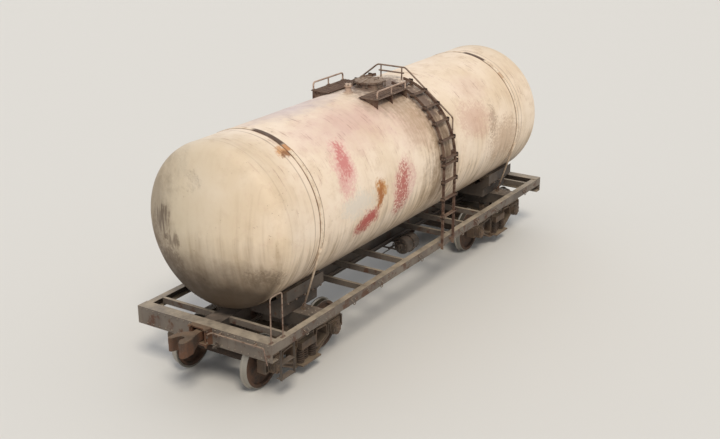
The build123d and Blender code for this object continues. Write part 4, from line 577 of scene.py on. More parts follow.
def aged_paint(name, paint, worn, rust, dust, size, rusty, dusty, edge=0.006):
    """Brushed frame enamel on rolled or pressed steel, with rust, bare edges and settled dust.

    size is the rust patches' width in millimetres; rusty and dusty say how much there is.
    """
    tree = blank(name)
    coordinates = add(tree, "TexCoord")
    place, facing = coordinates["Object"], coordinates["Normal"]
    broad = add(tree, "TexNoise",
                {0: place, "Scale": per(size * 3), "Detail": 4.0, "Roughness": 0.6})[0]
    spot = add(tree, "TexNoise", {0: place, "Scale": per(size), "Detail": 9.0, "Roughness": 0.68})[0]
    fine = add(tree, "TexNoise", {0: place, "Scale": per(size / 9), "Detail": 4.0, "Roughness": 0.6})[0]
    tall = add(tree, "Mapping", {0: place, "Scale": (1.0, 1.0, 0.12)})[0]
    runs = add(tree, "TexNoise", {0: tall, "Scale": per(70), "Detail": 5.0, "Roughness": 0.6})[0]
    colour = tint(tree, paint, worn, broad, 0.8, (0.36, 0.66))
    colour = tint(tree, colour, rust, runs, rusty * 0.45, (0.52, 0.70))
    patches = add(tree, "MapRange", {0: spot, 1: 0.66 - rusty * 0.18, 2: 0.72 - rusty * 0.16})[0]
    colour = tint(tree, colour, rust, patches, 0.85)
    # paint is gone first from the corners
    colour = tint(tree, colour, worn, rubbed_corners(tree, fine, edge, 0.80), 0.9)
    up = add(tree, "SeparateXYZ", {0: facing})[2]
    up = add(tree, "MapRange", {0: up, 1: 0.45, 2: 0.95})[0]
    settled = add(tree, "MapRange", {0: spot, 1: 0.25, 2: 0.60})[0]
    settled = add(tree, "Math", {0: up, 1: settled}, operation="MULTIPLY")[0]
    colour = tint(tree, colour, dust, settled, dusty)
    rough = add(tree, "MapRange", {0: spot, 1: 0.35, 2: 0.70, 3: 0.52, 4: 0.90})[0]
    close(tree, colour, rough, [(0.35, 0.004, spot), (0.25, 0.0015, fine)])


def cast_steel(name, skin, brown, dust, oil, grit=9):
    """Sand-cast steel that was never painted: brown and pitted, dusty on top, oily in places.

    The mould left a grit of 1 to 2 mm, drawn 9 mm so that it shows. The springs are wound bar with
    the same skin of rust and oil, and for them the grit is drawn wider.
    """
    tree = blank(name)
    coordinates = add(tree, "TexCoord")
    place, facing = coordinates["Object"], coordinates["Normal"]
    broad = add(tree, "TexNoise", {0: place, "Scale": per(380), "Detail": 6.0, "Roughness": 0.62})[0]
    spot = add(tree, "TexNoise", {0: place, "Scale": per(90), "Detail": 7.0, "Roughness": 0.65})[0]
    sand = add(tree, "TexNoise", {0: place, "Scale": per(grit), "Detail": 3.0, "Roughness": 0.7})[0]
    colour = tint(tree, skin, brown, broad, 1.0, (0.38, 0.62))
    colour = tint(tree, colour, oil, spot, 0.7, (0.56, 0.74))
    colour = tint(tree, colour, dust, rubbed_corners(tree, spot, 0.008, 0.82), 0.8)
    up = add(tree, "SeparateXYZ", {0: facing})[2]
    up = add(tree, "MapRange", {0: up, 1: 0.20, 2: 0.90})[0]
    up = add(tree, "Math", {0: up, 1: broad}, operation="MULTIPLY")[0]
    colour = tint(tree, colour, dust, up, 1.0)
    rough = add(tree, "MapRange", {0: spot, 1: 0.40, 2: 0.72, 3: 0.88, 4: 0.45})[0]
    close(tree, colour, rough, [(0.45, 0.002, sand), (0.30, 0.005, spot)])


def wheel_steel(name):
    """Rolled carbon steel: the tread polished by the rail, the disc brown with rust and brake dust."""
    tree = blank(name)
    place = add(tree, "TexCoord")["Object"]
    x, y, z = add(tree, "SeparateXYZ", {0: place})
    # how far a point is from its own axle, whichever of the four it is
    for centre in (0.0, STRAP_X, HALF_BASE):
        x = add(tree, "Math", {0: x, 1: centre}, operation="SUBTRACT")[0]
        x = add(tree, "Math", {0: x}, operation="ABSOLUTE")[0]
    z = add(tree, "Math", {0: z, 1: AXLE_Z}, operation="SUBTRACT")[0]
    way = add(tree, "CombineXYZ", {0: x, 1: z})[0]
    out = add(tree, "VectorMath", {0: way}, operation="LENGTH")["Value"]
    across = add(tree, "Math", {0: y}, operation="ABSOLUTE")[0]
    # marks of rolling and turning run round the wheel, 12 mm apart
    lathe = add(tree, "CombineXYZ", {0: out, 1: across})[0]
    rings = add(tree, "TexNoise", {0: lathe, "Scale": per(12), "Detail": 3.0, "Roughness": 0.6})[0]
    spot = add(tree, "TexNoise", {0: place, "Scale": per(130), "Detail": 8.0, "Roughness": 0.66})[0]
    colour = tint(tree, "543b2b", "2f2620", spot, 1.0, (0.40, 0.64))
    colour = tint(tree, colour, "6f5c4a", rings, 0.40, (0.50, 0.75))
    bright = add(tree, "MapRange", {0: out, 1: TREAD_R - 0.016, 2: TREAD_R - 0.008})[0]
    grease = add(tree, "MapRange", {0: out, 1: GREASE_EDGE_R, 2: GREASE_THICK_R})[0]
    colour = tint(tree, colour, "262019", grease, 0.6)
    colour = tint(tree, colour, "a9a59d", bright, 0.95)
    rough = add(tree, "MapRange", {0: bright, 3: 0.80, 4: 0.38})[0]
    close(tree, colour, rough, [(0.3, 0.0015, rings), (0.25, 0.003, spot)], bright)


def oiled_timber(name):
    """Softwood beams, sawn and soaked with preservative: grey-brown, open-grained along the beam."""
    tree = blank(name)
    place = add(tree, "TexCoord")["Object"]
    # grain about 22 mm wide across the beam, drawn out twentyfold along it
    along = add(tree, "Mapping", {0: place, "Scale": (0.05, 1.0, 1.0)})[0]
    grain = add(tree, "TexNoise",
                {0: along, "Scale": per(22), "Detail": 6.0, "Roughness": 0.7, "Distortion": 0.6})[0]
    spot = add(tree, "TexNoise", {0: place, "Scale": per(200), "Detail": 5.0, "Roughness": 0.6})[0]
    colour = tint(tree, "5c4a39", "2e241b", grain, 1.0, (0.40, 0.62))
    colour = tint(tree, colour, "857763", spot, 0.6, (0.50, 0.72))
    rough = add(tree, "MapRange", {0: grain, 1: 0.3, 2: 0.7, 3: 0.68, 4: 0.90})[0]
    close(tree, colour, rough, [(0.5, 0.003, grain)])


def plain_floor(name, colour):
    """Matt painted studio floor, pale and even, with a roller's faint stipple."""
    tree = blank(name)
    place = add(tree, "TexCoord")["Object"]
    stipple = add(tree, "TexNoise", {0: place, "Scale": per(180), "Detail": 4.0})[0]
    close(tree, (*colour, 1.0), 0.85, [(0.04, 0.01, stipple)])


FINISH_OF_SLOT = {
    "tank_enamel": "chalked_tank_enamel",
    "fitting_paint": "rust_stained_fitting_paint",
    "ladder_iron": "rusted_ladder_iron",
    "frame_paint": "dirty_frame_enamel",
    "beam_paint": "dusty_beam_enamel",
    "bogie_iron": "sand_cast_bogie_steel",
    "wheel_steel": "rolled_wheel_steel",
    "spring_steel": "oily_spring_steel",
    "coupler_iron": "rusty_cast_coupler_steel",
    "timber": "oiled_softwood",
}
# parts whose coat has aged differently from the rest of their slot's
FINISH_OF_NODE = {
    "strap_a": "walked_strap_enamel",
    "strap_b": "walked_strap_enamel",
    "guard_rails": "chipped_rail_enamel",
    "safety_valve": "chipped_rail_enamel",
}


# Settings
class TankCarSizes(bpy.types.PropertyGroup):
    """Sizes of the fittings that are added to the frame."""

    spring_wire: FloatProperty(
        name="Spring wire", description="Thickness of the outer springs' wire",
        default=0.026, min=0.015, max=0.032, unit="LENGTH")
    spring_turns: FloatProperty(
        name="Spring turns", description="Turns in an outer suspension spring",
        default=6.5, min=4, max=9)
    weld_width: FloatProperty(
        name="Weld width", description="Width of the weld beads on the tank",
        default=0.022, min=0.008, max=0.04, unit="LENGTH")
    nut: FloatProperty(
        name="Nut size", description="Across the flats of the ordinary frame nuts",
        default=0.036, min=0.02, max=0.06, unit="LENGTH")
    rivet: FloatProperty(
        name="Rivet size", description="Width of a rivet head on the frame",
        default=0.034, min=0.015, max=0.06, unit="LENGTH")
    tread_bars: IntProperty(
        name="Tread bars", description="Raised bars on each side of the platform",
        default=22, min=4, max=60)
    lens: FloatProperty(
        name="Lens", description="Focal length of the camera", default=56.0, min=20, max=200,
        unit="CAMERA")


class TankCarColours(bpy.types.PropertyGroup):
    """Colours of what stands round the car."""

    floor: FloatVectorProperty(
        name="Floor", description="Colour of the studio floor", subtype="COLOR",
        default=linear("dddbd6"), min=0, max=1)
    backdrop: FloatVectorProperty(
        name="Backdrop", description="Colour seen behind the car", subtype="COLOR",
        default=linear("e1ddd7"), min=0, max=1)


# Pieces
class TANKCAR_OT_finishes(bpy.types.Operator):
    """Makes the finishes and gives each part of the frame its own"""

    bl_idname = "tankcar.finishes"
    bl_label = "Finishes"

    def execute(self, context):
        tank_enamel("chalked_tank_enamel")
        strap_enamel("walked_strap_enamel")
        aged_paint("rust_stained_fitting_paint", "7c675a", "9c8775", "543626", "ab9a86",
                   size=90, rusty=0.75, dusty=0.45)
        aged_paint("chipped_rail_enamel", "c3aa97", "8d7364", "68483a", "d0bfae",
                   size=80, rusty=0.60, dusty=0.30)
        aged_paint("rusted_ladder_iron", "5a4137", "87715f", "452a20", "8b7868",
                   size=110, rusty=0.85, dusty=0.45)
        # near-black step ends: painted shade under each step, over the ends' own rusty paint
        aged_paint("tarred_step_ends", "32261f", "4d3c32", "2a1a14", "5d4d41",
                   size=60, rusty=0.60, dusty=0.25)
        aged_paint("dirty_frame_enamel", "3d3732", "5d5146", "4f3526", "85776a",
                   size=240, rusty=0.55, dusty=0.75)
        aged_paint("dusty_beam_enamel", "5f564e", "7d7266", "56392a", "b0a28e",
                   size=260, rusty=0.65, dusty=0.95)
        cast_steel("sand_cast_bogie_steel", "554a40", "6d5846", "a08d75", "28211b")
        cast_steel("rusty_cast_coupler_steel", "43352b", "60402c", "87745f", "221a15")
        cast_steel("oily_spring_steel", "332b26", "4c392c", "6a5a49", "171310", grit=30)
        aged_paint("weathered_steel_nuts", "564840", "847465", "543626", "8a7b6b",
                   size=60, rusty=0.8, dusty=0.3, edge=0.002)
        wheel_steel("rolled_wheel_steel")
        oiled_timber("oiled_softwood")
        for row in frame["record"]["subparts"]:
            finish = FINISH_OF_NODE.get(row["node"], FINISH_OF_SLOT[row["material_slot"]])
            part = frame["nodes"][row["node"]]
            if not part.material_slots:
                part.data.materials.append(None)
            for holder in part.material_slots:
                holder.material = bpy.data.materials[finish]
        return {"FINISHED"}


class TANKCAR_OT_welds(bpy.types.Operator):
    """Lays the weld beads round and along the tank, and round what stands on it"""

    bl_idname = "tankcar.welds"
    bl_label = "Tank welds"

    def execute(self, context):
        width = context.scene.tank_car_sizes.weld_width
        # most of the bead is in the plate, so that it stands a sixth of its width proud
        sunk = -width / 3
        beads = Shape()
        for x in (-DISH_JOINT_X, -PLATE_SEAM_X, PLATE_SEAM_X, DISH_JOINT_X):
            ring = [around_shell(x, 360 * n / 120, sunk).translation for n in range(120)]
            beads.bar(ring, width / 2, 8, joined=True)
        for degrees in (-LONG_SEAM, LONG_SEAM):
            ends = [around_shell(x, degrees, sunk).translation
                    for x in (-DISH_JOINT_X, 0, DISH_JOINT_X)]
            beads.bar(ends, width / 2, 8)
        for x, radius in ((0.0, NECK_R), (VALVE_X, VALVE_R)):
            foot = [(x + along, y, AXIS_Z + math.sqrt(SHELL_R**2 - y * y))
                    for along, y in circle(radius, 48)]
            beads.bar(foot, width * 0.45, 8, joined=True)
        beads.piece("tank_welds", "car", "tank_enamel", "chalked_tank_enamel", 60)
        return {"FINISHED"}


class TANKCAR_OT_straps(bpy.types.Operator):
    """Ends the straps in their sleeves, and threads and nuts the rods"""

    bl_idname = "tankcar.straps"
    bl_label = "Strap fittings"

    def execute(self, context):
        sleeves, threads = Shape(), Shape()
        for x in BOGIE_X.values():
            for side in (LEFT, RIGHT):
                place = around_shell(x, side * STRAP_END, ROD_R)
                down = place.to_3x3() @ Vector((0, side, 0))
                top = place.translation
                foot = top + down * ((top.z - SILL_TOP - 0.048) / -down.z)
                sleeves.turned(at(top - down * 0.050, down),
                               [(0.024, 0.0), (0.027, 0.004), (0.027, 0.196), (0.024, 0.200)], 16)
                for edge in (-0.032, 0.032):
                    start = top + Vector((edge, 0, 0)) - down * 0.050
                    sleeves.bar([start, start + down * 0.060], 0.009, 8)
                grooves = []
                for n in range(26):
                    low = n * THREAD_PITCH
                    grooves += [(ROD_R + 0.0030, low), (ROD_R + 0.0006, low + THREAD_PITCH / 2)]
                threads.turned(at(foot - down * 0.030, -down), grooves, 14)
                for lift in (-0.002, 0.030):
                    threads.bolt(at(foot - down * lift, -down), 0.058)
        sleeves.piece("strap_sleeves", "car", "tank_enamel", "walked_strap_enamel")
        threads.piece("strap_nuts", "car", "tank_enamel", "weathered_steel_nuts")
        return {"FINISHED"}


class TANKCAR_OT_hatch(bpy.types.Operator):
    """Adds the manhole's swing bolts, the lid's ribs and handles, and the valve's bolts"""

    bl_idname = "tankcar.hatch"
    bl_label = "Manhole and valve fittings"

    def execute(self, context):
        nut = context.scene.tank_car_sizes.nut
        bolts = Shape()
        for c, s in circle(1, 8, 0.5):
            out = Vector((c, s, 0))
            foot = Vector((0, 0, LID_RIM_Z - 0.080)) + out * SWING_BOLTS_R
            bolts.bar([foot, foot + Vector((0, 0, 0.100))], 0.010, 10)
            bolts.bolt(at(foot + Vector((0, 0, 0.080))), nut * 0.9, 0.004)
            eye = foot + Vector((0, 0, 0.004))
            along = Vector((-out.y, out.x, 0))
            bolts.turned(at(eye - along * 0.016, along), [(0.020, 0.0), (0.020, 0.032)], 14)
            bolts.bar([eye - along * 0.036, eye + along * 0.036], 0.008, 8)
        bolts.piece("manhole_swing_bolts", "car", "fitting_paint", "weathered_steel_nuts")

        lid = Shape()

        def on_lid(x, y):
            return seat("hatch_lid", (x, y, 5), (0, 0, -1)).translation

        for c, s in circle(1, 6, 0.5):
            lid.bar([on_lid(c * r, s * r) for r in (0.070, 0.17, 0.262)], 0.009, 8)
        lid.turned(seat("hatch_lid", (0, 0, 5), (0, 0, -1)),
                   [(0.048, -0.004), (0.048, 0.010), (0.040, 0.014)], 24)
        lid.bar([on_lid(x, y) for x, y in circle(LID_RING_R, 48)], 0.007, 6, joined=True)
        for side in (LEFT, RIGHT):
            first, last = (on_lid(x, side * LID_GRIP_Y) for x in (-0.075, 0.075))
            up = Vector((0, 0, 0.050))
            lid.bar(bent([first - up * 0.1, first + up, last + up, last - up * 0.1], 0.025),
                    0.009, 8)
        lid.piece("hatch_lid_ribs", "hatch_lid", "fitting_paint", "rust_stained_fitting_paint")

        valve = Shape()
        for spot in bolt_circle(Vector((VALVE_X, 0, 5)), VALVE_BOLTS_R, 6, X, Y):
            valve.bolt(seat("safety_valve", spot, (0, 0, -1)), nut * 0.62, 0.006)
        cap = seat("safety_valve", (VALVE_X, 0, 5), (0, 0, -1))
        valve.bolt(cap, nut, 0.010)
        arm = Vector((VALVE_X, 0, VALVE_HIGH.z - 0.012))
        valve.bar(bent([arm + Vector((0.02, 0, 0)), arm + Vector((0.13, 0, 0.004)),
                        arm + Vector((0.17, 0, -0.05))], 0.03), 0.007, 8)
        valve.piece("safety_valve_bolts", "car", "fitting_paint", "weathered_steel_nuts")
        return {"FINISHED"}


class TANKCAR_OT_platform(bpy.types.Operator):
    """Lays the raised tread bars on the platform and gives its rails their feet"""

    bl_idname = "tankcar.platform"
    bl_label = "Platform fittings"

    def execute(self, context):
        sizes = context.scene.tank_car_sizes
        treads, feet = Shape(), Shape()
        length = FLOOR_HIGH.x - FLOOR_LOW.x
        top = FLOOR_HIGH.z - 0.001
        for side in (LEFT, RIGHT):
            for n in range(sizes.tread_bars):
                x = FLOOR_LOW.x + (n + 0.5) * length / sizes.tread_bars
                treads.plate(level((x, side * TREADS_Y, top)), (0.011, TREADS_LONG, 0.009))
            for y in (0.357, 0.440, 0.545, 0.650, 0.718):
                middle = ((FLOOR_LOW.x + FLOOR_HIGH.x) / 2, side * y, top)
                treads.plate(level(middle), (length - 0.006, 0.010, 0.012))
            for x in GUARD_POSTS_X:
                spot = (x, side * GUARD_Y, top + 0.0015)
                feet.turned(at(spot), [(0.021, 0.0), (0.021, 0.016), (0.018, 0.020)], 16)
                feet.plate(level(spot), (0.110, 0.046, 0.009))
                for shift in (-0.040, 0.040):
                    feet.bolt(at((x + shift, side * GUARD_Y, top + 0.010)), sizes.nut * 0.55)
        treads.piece("platform_treads", "car", "ladder_iron", "rusted_ladder_iron")
        feet.piece("guard_rail_feet", "car", "fitting_paint", "weathered_steel_nuts")
        return {"FINISHED"}


class TANKCAR_OT_ladders(bpy.types.Operator):
    """Adds the steps' grip bars and the bolts through the stringers"""

    bl_idname = "tankcar.ladders"
    bl_label = "Ladder fittings"

    def execute(self, context):
        nut = context.scene.tank_car_sizes.nut
        grips, bolts, ends = Shape(), Shape(), Shape()
        places = []
        for n in range(6):
            turn = math.radians(STEP_FIRST + STEP_TURN * n)
            places.append((STEP_R * math.sin(turn), AXIS_Z + STEP_R * math.cos(turn)))
        places += [(STEP_R, AXIS_Z - STEP_DROP * n) for n in range(4)]
        for side in (LEFT, RIGHT):
            for y, z in places:
                for shift in (-0.041, -0.0205, 0.0, 0.0205, 0.041):
                    grips.plate(level((LADDER_X, side * y + shift, z + 0.004)),
                                (LADDER_WIDE - 0.030, 0.006, 0.006), 0.0015)
                for outer in (-1, 1):
                    # each step's turned-down end, coloured near-black as painted shade under the step
                    x = LADDER_X + outer * (LADDER_WIDE / 2 - 0.021)
                    ends.plate(level((x, side * y, z - 0.050)), (0.014, 0.098, 0.096), 0.003)
                    x = LADDER_X + outer * LADDER_WIDE / 2
                    for shift in (-0.026, 0.026):
                        bolts.bolt(at((x, side * y + shift, z + 0.010), (outer, 0, 0)), nut * 0.55)
            for stringer in (-0.230, 0.230):
                for turn in (20, 52, 84):
                    pad = around_shell(LADDER_X + stringer, side * turn)
                    grips.plate(pad, (0.090, 0.100, 0.010), 0.003)
        grips.piece("ladder_grips", "car", "ladder_iron", "rusted_ladder_iron")
        bolts.piece("ladder_bolts", "car", "ladder_iron", "weathered_steel_nuts")
        ends.piece("ladder_step_brackets", "car", "ladder_iron", "tarred_step_ends")
        return {"FINISHED"}


def coil(shape, foot, height, radius, wire, turns, steps, sides, hand=1):
    """A spring wound from round bar, its end turns lying flat."""
    path = []
    count = int(turns * steps)
    for n in range(count + 1):
        part = n / count
        # the first and last three quarters of a turn hardly climb
        flat = 0.75 / turns
        climb = min(max((part - flat) / (1 - 2 * flat), 0.0), 1.0)
        climb = 0.90 * climb + 0.05 * (min(part, flat) + max(part - 1 + flat, 0)) / flat
        angle = hand * TURN * turns * part
        path.append(foot + Vector((radius * math.cos(angle), radius * math.sin(angle),
                                   wire / 2 + (height - wire) * climb)))
    shape.bar(path, wire / 2, sides)


class TANKCAR_OT_springs(bpy.types.Operator):
    """Winds the suspension springs in place of the frame's plain columns"""

    bl_idname = "tankcar.springs"
    bl_label = "Suspension springs"

    def execute(self, context):
        sizes = context.scene.tank_car_sizes
        wire, turns = sizes.spring_wire, sizes.spring_turns
        for end, middle in BOGIE_X.items():
            low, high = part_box(f"springs_{end}")
            tall = high.z - low.z
            nests = Shape()
            for side in (LEFT, RIGHT):
                for column, shifts in SPRING_COLUMNS:
                    for shift in shifts:
                        foot = Vector((middle + column * SPRING_APART,
                                       side * (SPRINGS_Y + shift), low.z))
                        coil(nests, foot, tall, SPRING_R - wire / 2, wire, turns, 16, 8)
                        coil(nests, foot, tall, INNER_SPRING_R, wire * 0.62, turns * 1.35, 12, 6, -1)
            made = nests.piece(f"spring_nests_{end}", f"bogie_{end}", "spring_steel",
                               "oily_spring_steel", 60)
            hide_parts(f"springs_{end}")
        return {"FINISHED"}


class TANKCAR_OT_bogies(bpy.types.Operator):
    """Bolts the axle boxes' covers on and rivets the side frames' columns"""

    bl_idname = "tankcar.bogies"
    bl_label = "Bogie fittings"

    def execute(self, context):
        sizes = context.scene.tank_car_sizes
        for end, middle in BOGIE_X.items():
            body, box, frames = f"bogie_{end}", f"axle_boxes_{end}", f"side_frames_{end}"
            bolts, covers = Shape(), Shape()
            for side in (LEFT, RIGHT):
                out = (0, -side, 0)
                for axle in (-HALF_BASE, HALF_BASE):
                    hub = Vector((middle + axle, side * 2, AXLE_Z))
                    covers.turned(seat(box, hub, out),
                                  [(0.072, -0.004), (0.072, 0.010), (0.062, 0.014),
                                   (0.034, 0.016), (0.030, 0.024), (0.022, 0.028)], 28)
                    for spot in bolt_circle(hub, BOX_BOLTS_R, 6, X, Z):
                        bolts.bolt(seat(box, spot, out), sizes.nut * 0.72, 0.004)
                for x in (-0.318, 0.318):
                    for z in (0.345, 0.415, 0.555, 0.625):
                        spot = (middle + x, side * 2, z)
                        bolts.rivet(seat(frames, spot, out), sizes.rivet)
            covers.piece(f"axle_box_covers_{end}", body, "bogie_iron", "sand_cast_bogie_steel")
            bolts.piece(f"axle_box_bolts_{end}", body, "bogie_iron", "weathered_steel_nuts")
        return {"FINISHED"}


class TANKCAR_OT_frame(bpy.types.Operator):
    """Rivets the underframe and adds its hooks, grab iron feet and the couplers' centring gear"""

    bl_idname = "tankcar.frame"
    bl_label = "Underframe fittings"

    def execute(self, context):
        sizes = context.scene.tank_car_sizes
        heads, bolts, hooks, gear, feet = (Shape() for _ in range(5))
        for end, ahead in (("a", -1), ("b", 1)):
            beam, striker = f"end_beam_{end}", f"striker_{end}"
            inward = (-ahead, 0, 0)
            for n in range(21):
                y = -1.42 + 0.142 * n
                if abs(y) > 0.26:
                    for z in (SILL_TOP - 0.030, SILL_TOP - 0.285):
                        heads.rivet(seat(beam, (ahead * 7, y, z), inward), sizes.rivet)
            for y in (-0.178, 0.178):
                for z in (-0.115, 0.0, 0.115):
                    bolts.bolt(seat(striker, (ahead * 7, y, COUPLER_Z + z), inward), sizes.nut)
            # the coupler rests over a bar that hangs on two links, so that it finds its centre
            bar_x = ahead * (STRIKER_X + 0.034)
            gear.plate(level((bar_x, 0, COUPLER_Z - 0.158)), (0.058, 0.400, 0.054), 0.008)
            for side in (LEFT, RIGHT):
                low = Vector((bar_x, side * 0.170, COUPLER_Z - 0.168))
                high = Vector((bar_x, side * 0.170, COUPLER_Z + 0.160))
                gear.bar([low, high], 0.014, 12)
                gear.bolt(at(low, (0, 0, -1)), sizes.nut, 0.010)
                gear.turned(at(high), [(0.028, -0.004), (0.028, 0.010), (0.016, 0.020)], 14)
                shelf = (ahead * (STRIKER_X + 0.024), side * 0.170, COUPLER_Z + 0.138)
                gear.plate(level(shelf), (0.080, 0.062, 0.018), 0.004)
        for side, sill in ((LEFT, "side_sill_left"), (RIGHT, "side_sill_right")):
            inward = (0, -side, 0)
            for x in BEARERS_X:
                for ahead in (-1, 1):
                    for shift in (-0.022, 0.022):
                        for z in (SILL_TOP - 0.034, SILL_TOP - 0.088):
                            spot = (ahead * x + shift, side * 3, z)
                            heads.rivet(seat(sill, spot, inward), sizes.rivet * 0.8)
            for n in range(5):
                for ahead in (-1, 1):
                    for z in (SILL_TOP - 0.040, SILL_TOP - 0.128):
                        spot = (ahead * (STRAP_X - 0.18 + 0.09 * n), side * 3, z)
                        heads.rivet(seat(sill, spot, inward), sizes.rivet * 0.8)
            for x in HOOKS_X:
                face = seat(sill, (x, side * 3, SILL_TOP - 0.100), inward)
                y = face.translation.y
                top = SILL_TOP - 0.060
                hooks.bar(bent([(x - 0.05, y, top), (x - 0.05, y + side * 0.05, top - 0.02),
                                (x - 0.03, y + side * 0.05, top - 0.10),
                                (x + 0.03, y + side * 0.05, top - 0.10),
                                (x + 0.05, y + side * 0.05, top - 0.02), (x + 0.05, y, top)],
                               0.03), 0.008, 8)
                hooks.plate(at((x, y, top), (0, side, 0), (1, 0, 0)), (0.135, 0.045, 0.008), 0.003)
            for end, middle in BOGIE_X.items():
                for x in (-0.155, -0.052, 0.052, 0.155):
                    for y in (1.15, 1.30):
                        spot = (middle + x, side * y, SILL_TOP + 0.02)
                        heads.rivet(seat(f"body_bolster_{end}", spot, (0, 0, -1)), sizes.rivet)
                for x in (-0.50, -0.25, 0.0, 0.25, 0.50):
                    spot = (middle + x, side * 2, SILL_TOP + 0.300)
                    bolts.bolt(seat(f"body_bolster_{end}", spot, inward), sizes.nut)
        for side in (LEFT, RIGHT):
            for x, under in ((5.34, f"end_beam_{'b' if side > 0 else 'a'}"),
                             (5.01, f"side_sill_{'left' if side > 0 else 'right'}")):
                foot = seat(under, (side * x, side * 1.44, 1.30), (0, 0, -1)).translation
                feet.plate(level(foot - Vector((0, 0, 0.001))), (0.110, 0.050, 0.010), 0.003)
                for shift in (-0.038, 0.038):
                    feet.bolt(at(foot + Vector((shift, 0, 0.008))), sizes.nut * 0.5, 0.003)
        feet.piece("grab_iron_feet", "car", "ladder_iron", "rusted_ladder_iron")
        heads.piece("frame_rivets", "car", "beam_paint", "dusty_beam_enamel")
        bolts.piece("frame_bolts", "car", "frame_paint", "weathered_steel_nuts")
        hooks.piece("side_sill_hooks", "car", "beam_paint", "dusty_beam_enamel")
        gear.piece("coupler_centring", "car", "coupler_iron", "rusty_cast_coupler_steel")
        return {"FINISHED"}


class TANKCAR_OT_brakes(bpy.types.Operator):
    """Straps the air reservoir, bolts the brake cylinder and the outlet, and adds the air pipes"""

    bl_idname = "tankcar.brakes"
    bl_label = "Brake fittings"

    def execute(self, context):
        sizes = context.scene.tank_car_sizes
        bands, bolts, pipes = Shape(), Shape(), Shape()
        low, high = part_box("air_reservoir")
        tank_r = (high.z - low.z) / 2
        tank = Vector(((low.x + high.x) / 2, high.y - tank_r, (low.z + high.z) / 2))
        for shift in (-0.38, 0.38):
            place = at(tank + Vector((shift, 0, 0)), (1, 0, 0))
            bands.turned(place, [(tank_r - 0.001, -0.030), (tank_r + 0.006, -0.028),
                                 (tank_r + 0.006, 0.028), (tank_r - 0.001, 0.030)], 48)
            lug = tank + Vector((shift, 0, -tank_r - 0.004))
            bands.plate(at(lug, (0, 0, -1), (1, 0, 0)), (0.050, 0.070, 0.024), 0.004)
            bolts.bolt(at(lug + Vector((0, 0.036, -0.012)), (0, 1, 0)), sizes.nut * 0.7, 0.010)
        for shift in (-0.55, 0.55):
            ring = at(tank + Vector((shift * 0.93, 0, 0)), (1, 0, 0))
            bands.turned(ring, [(tank_r - 0.001, -0.009), (tank_r + 0.004, -0.003),
                                (tank_r + 0.004, 0.003), (tank_r - 0.001, 0.009)], 48)
        bolts.bolt(at(tank - Vector((0, 0, tank_r)), (0, 0, -1)), sizes.nut, 0.012)

        drum = Vector((centre_of("brake_cylinder")[0], DRUM_Y, DRUM_Z))
        for radius, count in DRUM_BOLTS:
            for spot in bolt_circle(drum, radius, count, Y, Z):
                for way in (-1, 1):
                    bolts.bolt(seat("brake_cylinder", spot + X * way, X * -way),
                               sizes.nut * 0.62, 0.004)

        air = 0.012
        runs = (
            ((-0.870, 0.565, 0.938), (-0.715, 0.565, 0.938), (-0.715, 0.475, 0.928),
             (-0.560, 0.475, 0.928)),
            ((-0.300, 0.370, 0.895), (-0.300, -0.440, 0.895), (0.250, -0.440, 0.895),
             (0.250, -0.440, 0.985), (0.385, -0.470, 0.985)),
            ((-0.420, 0.370, 0.895), (-0.420, TRAIN_PIPE_Y, 0.895), (-0.420, TRAIN_PIPE_Y, 0.995)),
        )
        for run in runs:
            pipes.bar(bent(run, 0.05), air, 10)
            for start, other in ((run[0], run[1]), (run[-1], run[-2])):
                way = (Vector(other) - Vector(start)).normalized()
                pipes.turned(at(Vector(start) - way * 0.006, way),
                             [(0.023, 0.0), (0.023, 0.026), (0.018, 0.032)], 6)
        for ahead in (-1, 1):
            cock = at((ahead * (BEAM_X + 0.012), COCK_Y, COCK_Z), (ahead, 0, 0))
            pipes.turned(cock, [(0.046, -0.010), (0.046, 0.006), (0.040, 0.010)], 6)
            start = Vector((ahead * (BEAM_X + 0.052), COCK_Y, COCK_Z + 0.055))
            pipes.bar(bent([start - Vector((0, 0, 0.02)), start + Vector((0, 0, 0.020)),
                            start + Vector((ahead * 0.010, -0.120, 0.016))], 0.02), 0.008, 8)
        for x in PIPE_CLIPS_X:
            if abs(abs(x) - STRAP_X) > 0.26:
                clip = at((x - 0.015, TRAIN_PIPE_Y, TRAIN_PIPE_Z), X)
                pipes.turned(clip, [(0.020, 0.0), (0.027, 0.002), (0.027, 0.028), (0.020, 0.030)],
                             18)
                pipes.plate(at((x, TRAIN_PIPE_Y + 0.012, TRAIN_PIPE_Z), Y, X), (0.030, 0.020, 0.120),
                            0.003)
        for spot in bolt_circle(Vector(), OUTLET_BOLTS_R, 6, X, Y):
            bolts.bolt(seat("drain_valve", spot, (0, 0, 1)), sizes.nut * 0.5, 0.004)
        bands.piece("reservoir_bands", "car", "frame_paint", "dirty_frame_enamel")
        bolts.piece("brake_bolts", "car", "frame_paint", "weathered_steel_nuts")
        pipes.piece("air_pipes", "car", "frame_paint", "dirty_frame_enamel")
        return {"FINISHED"}


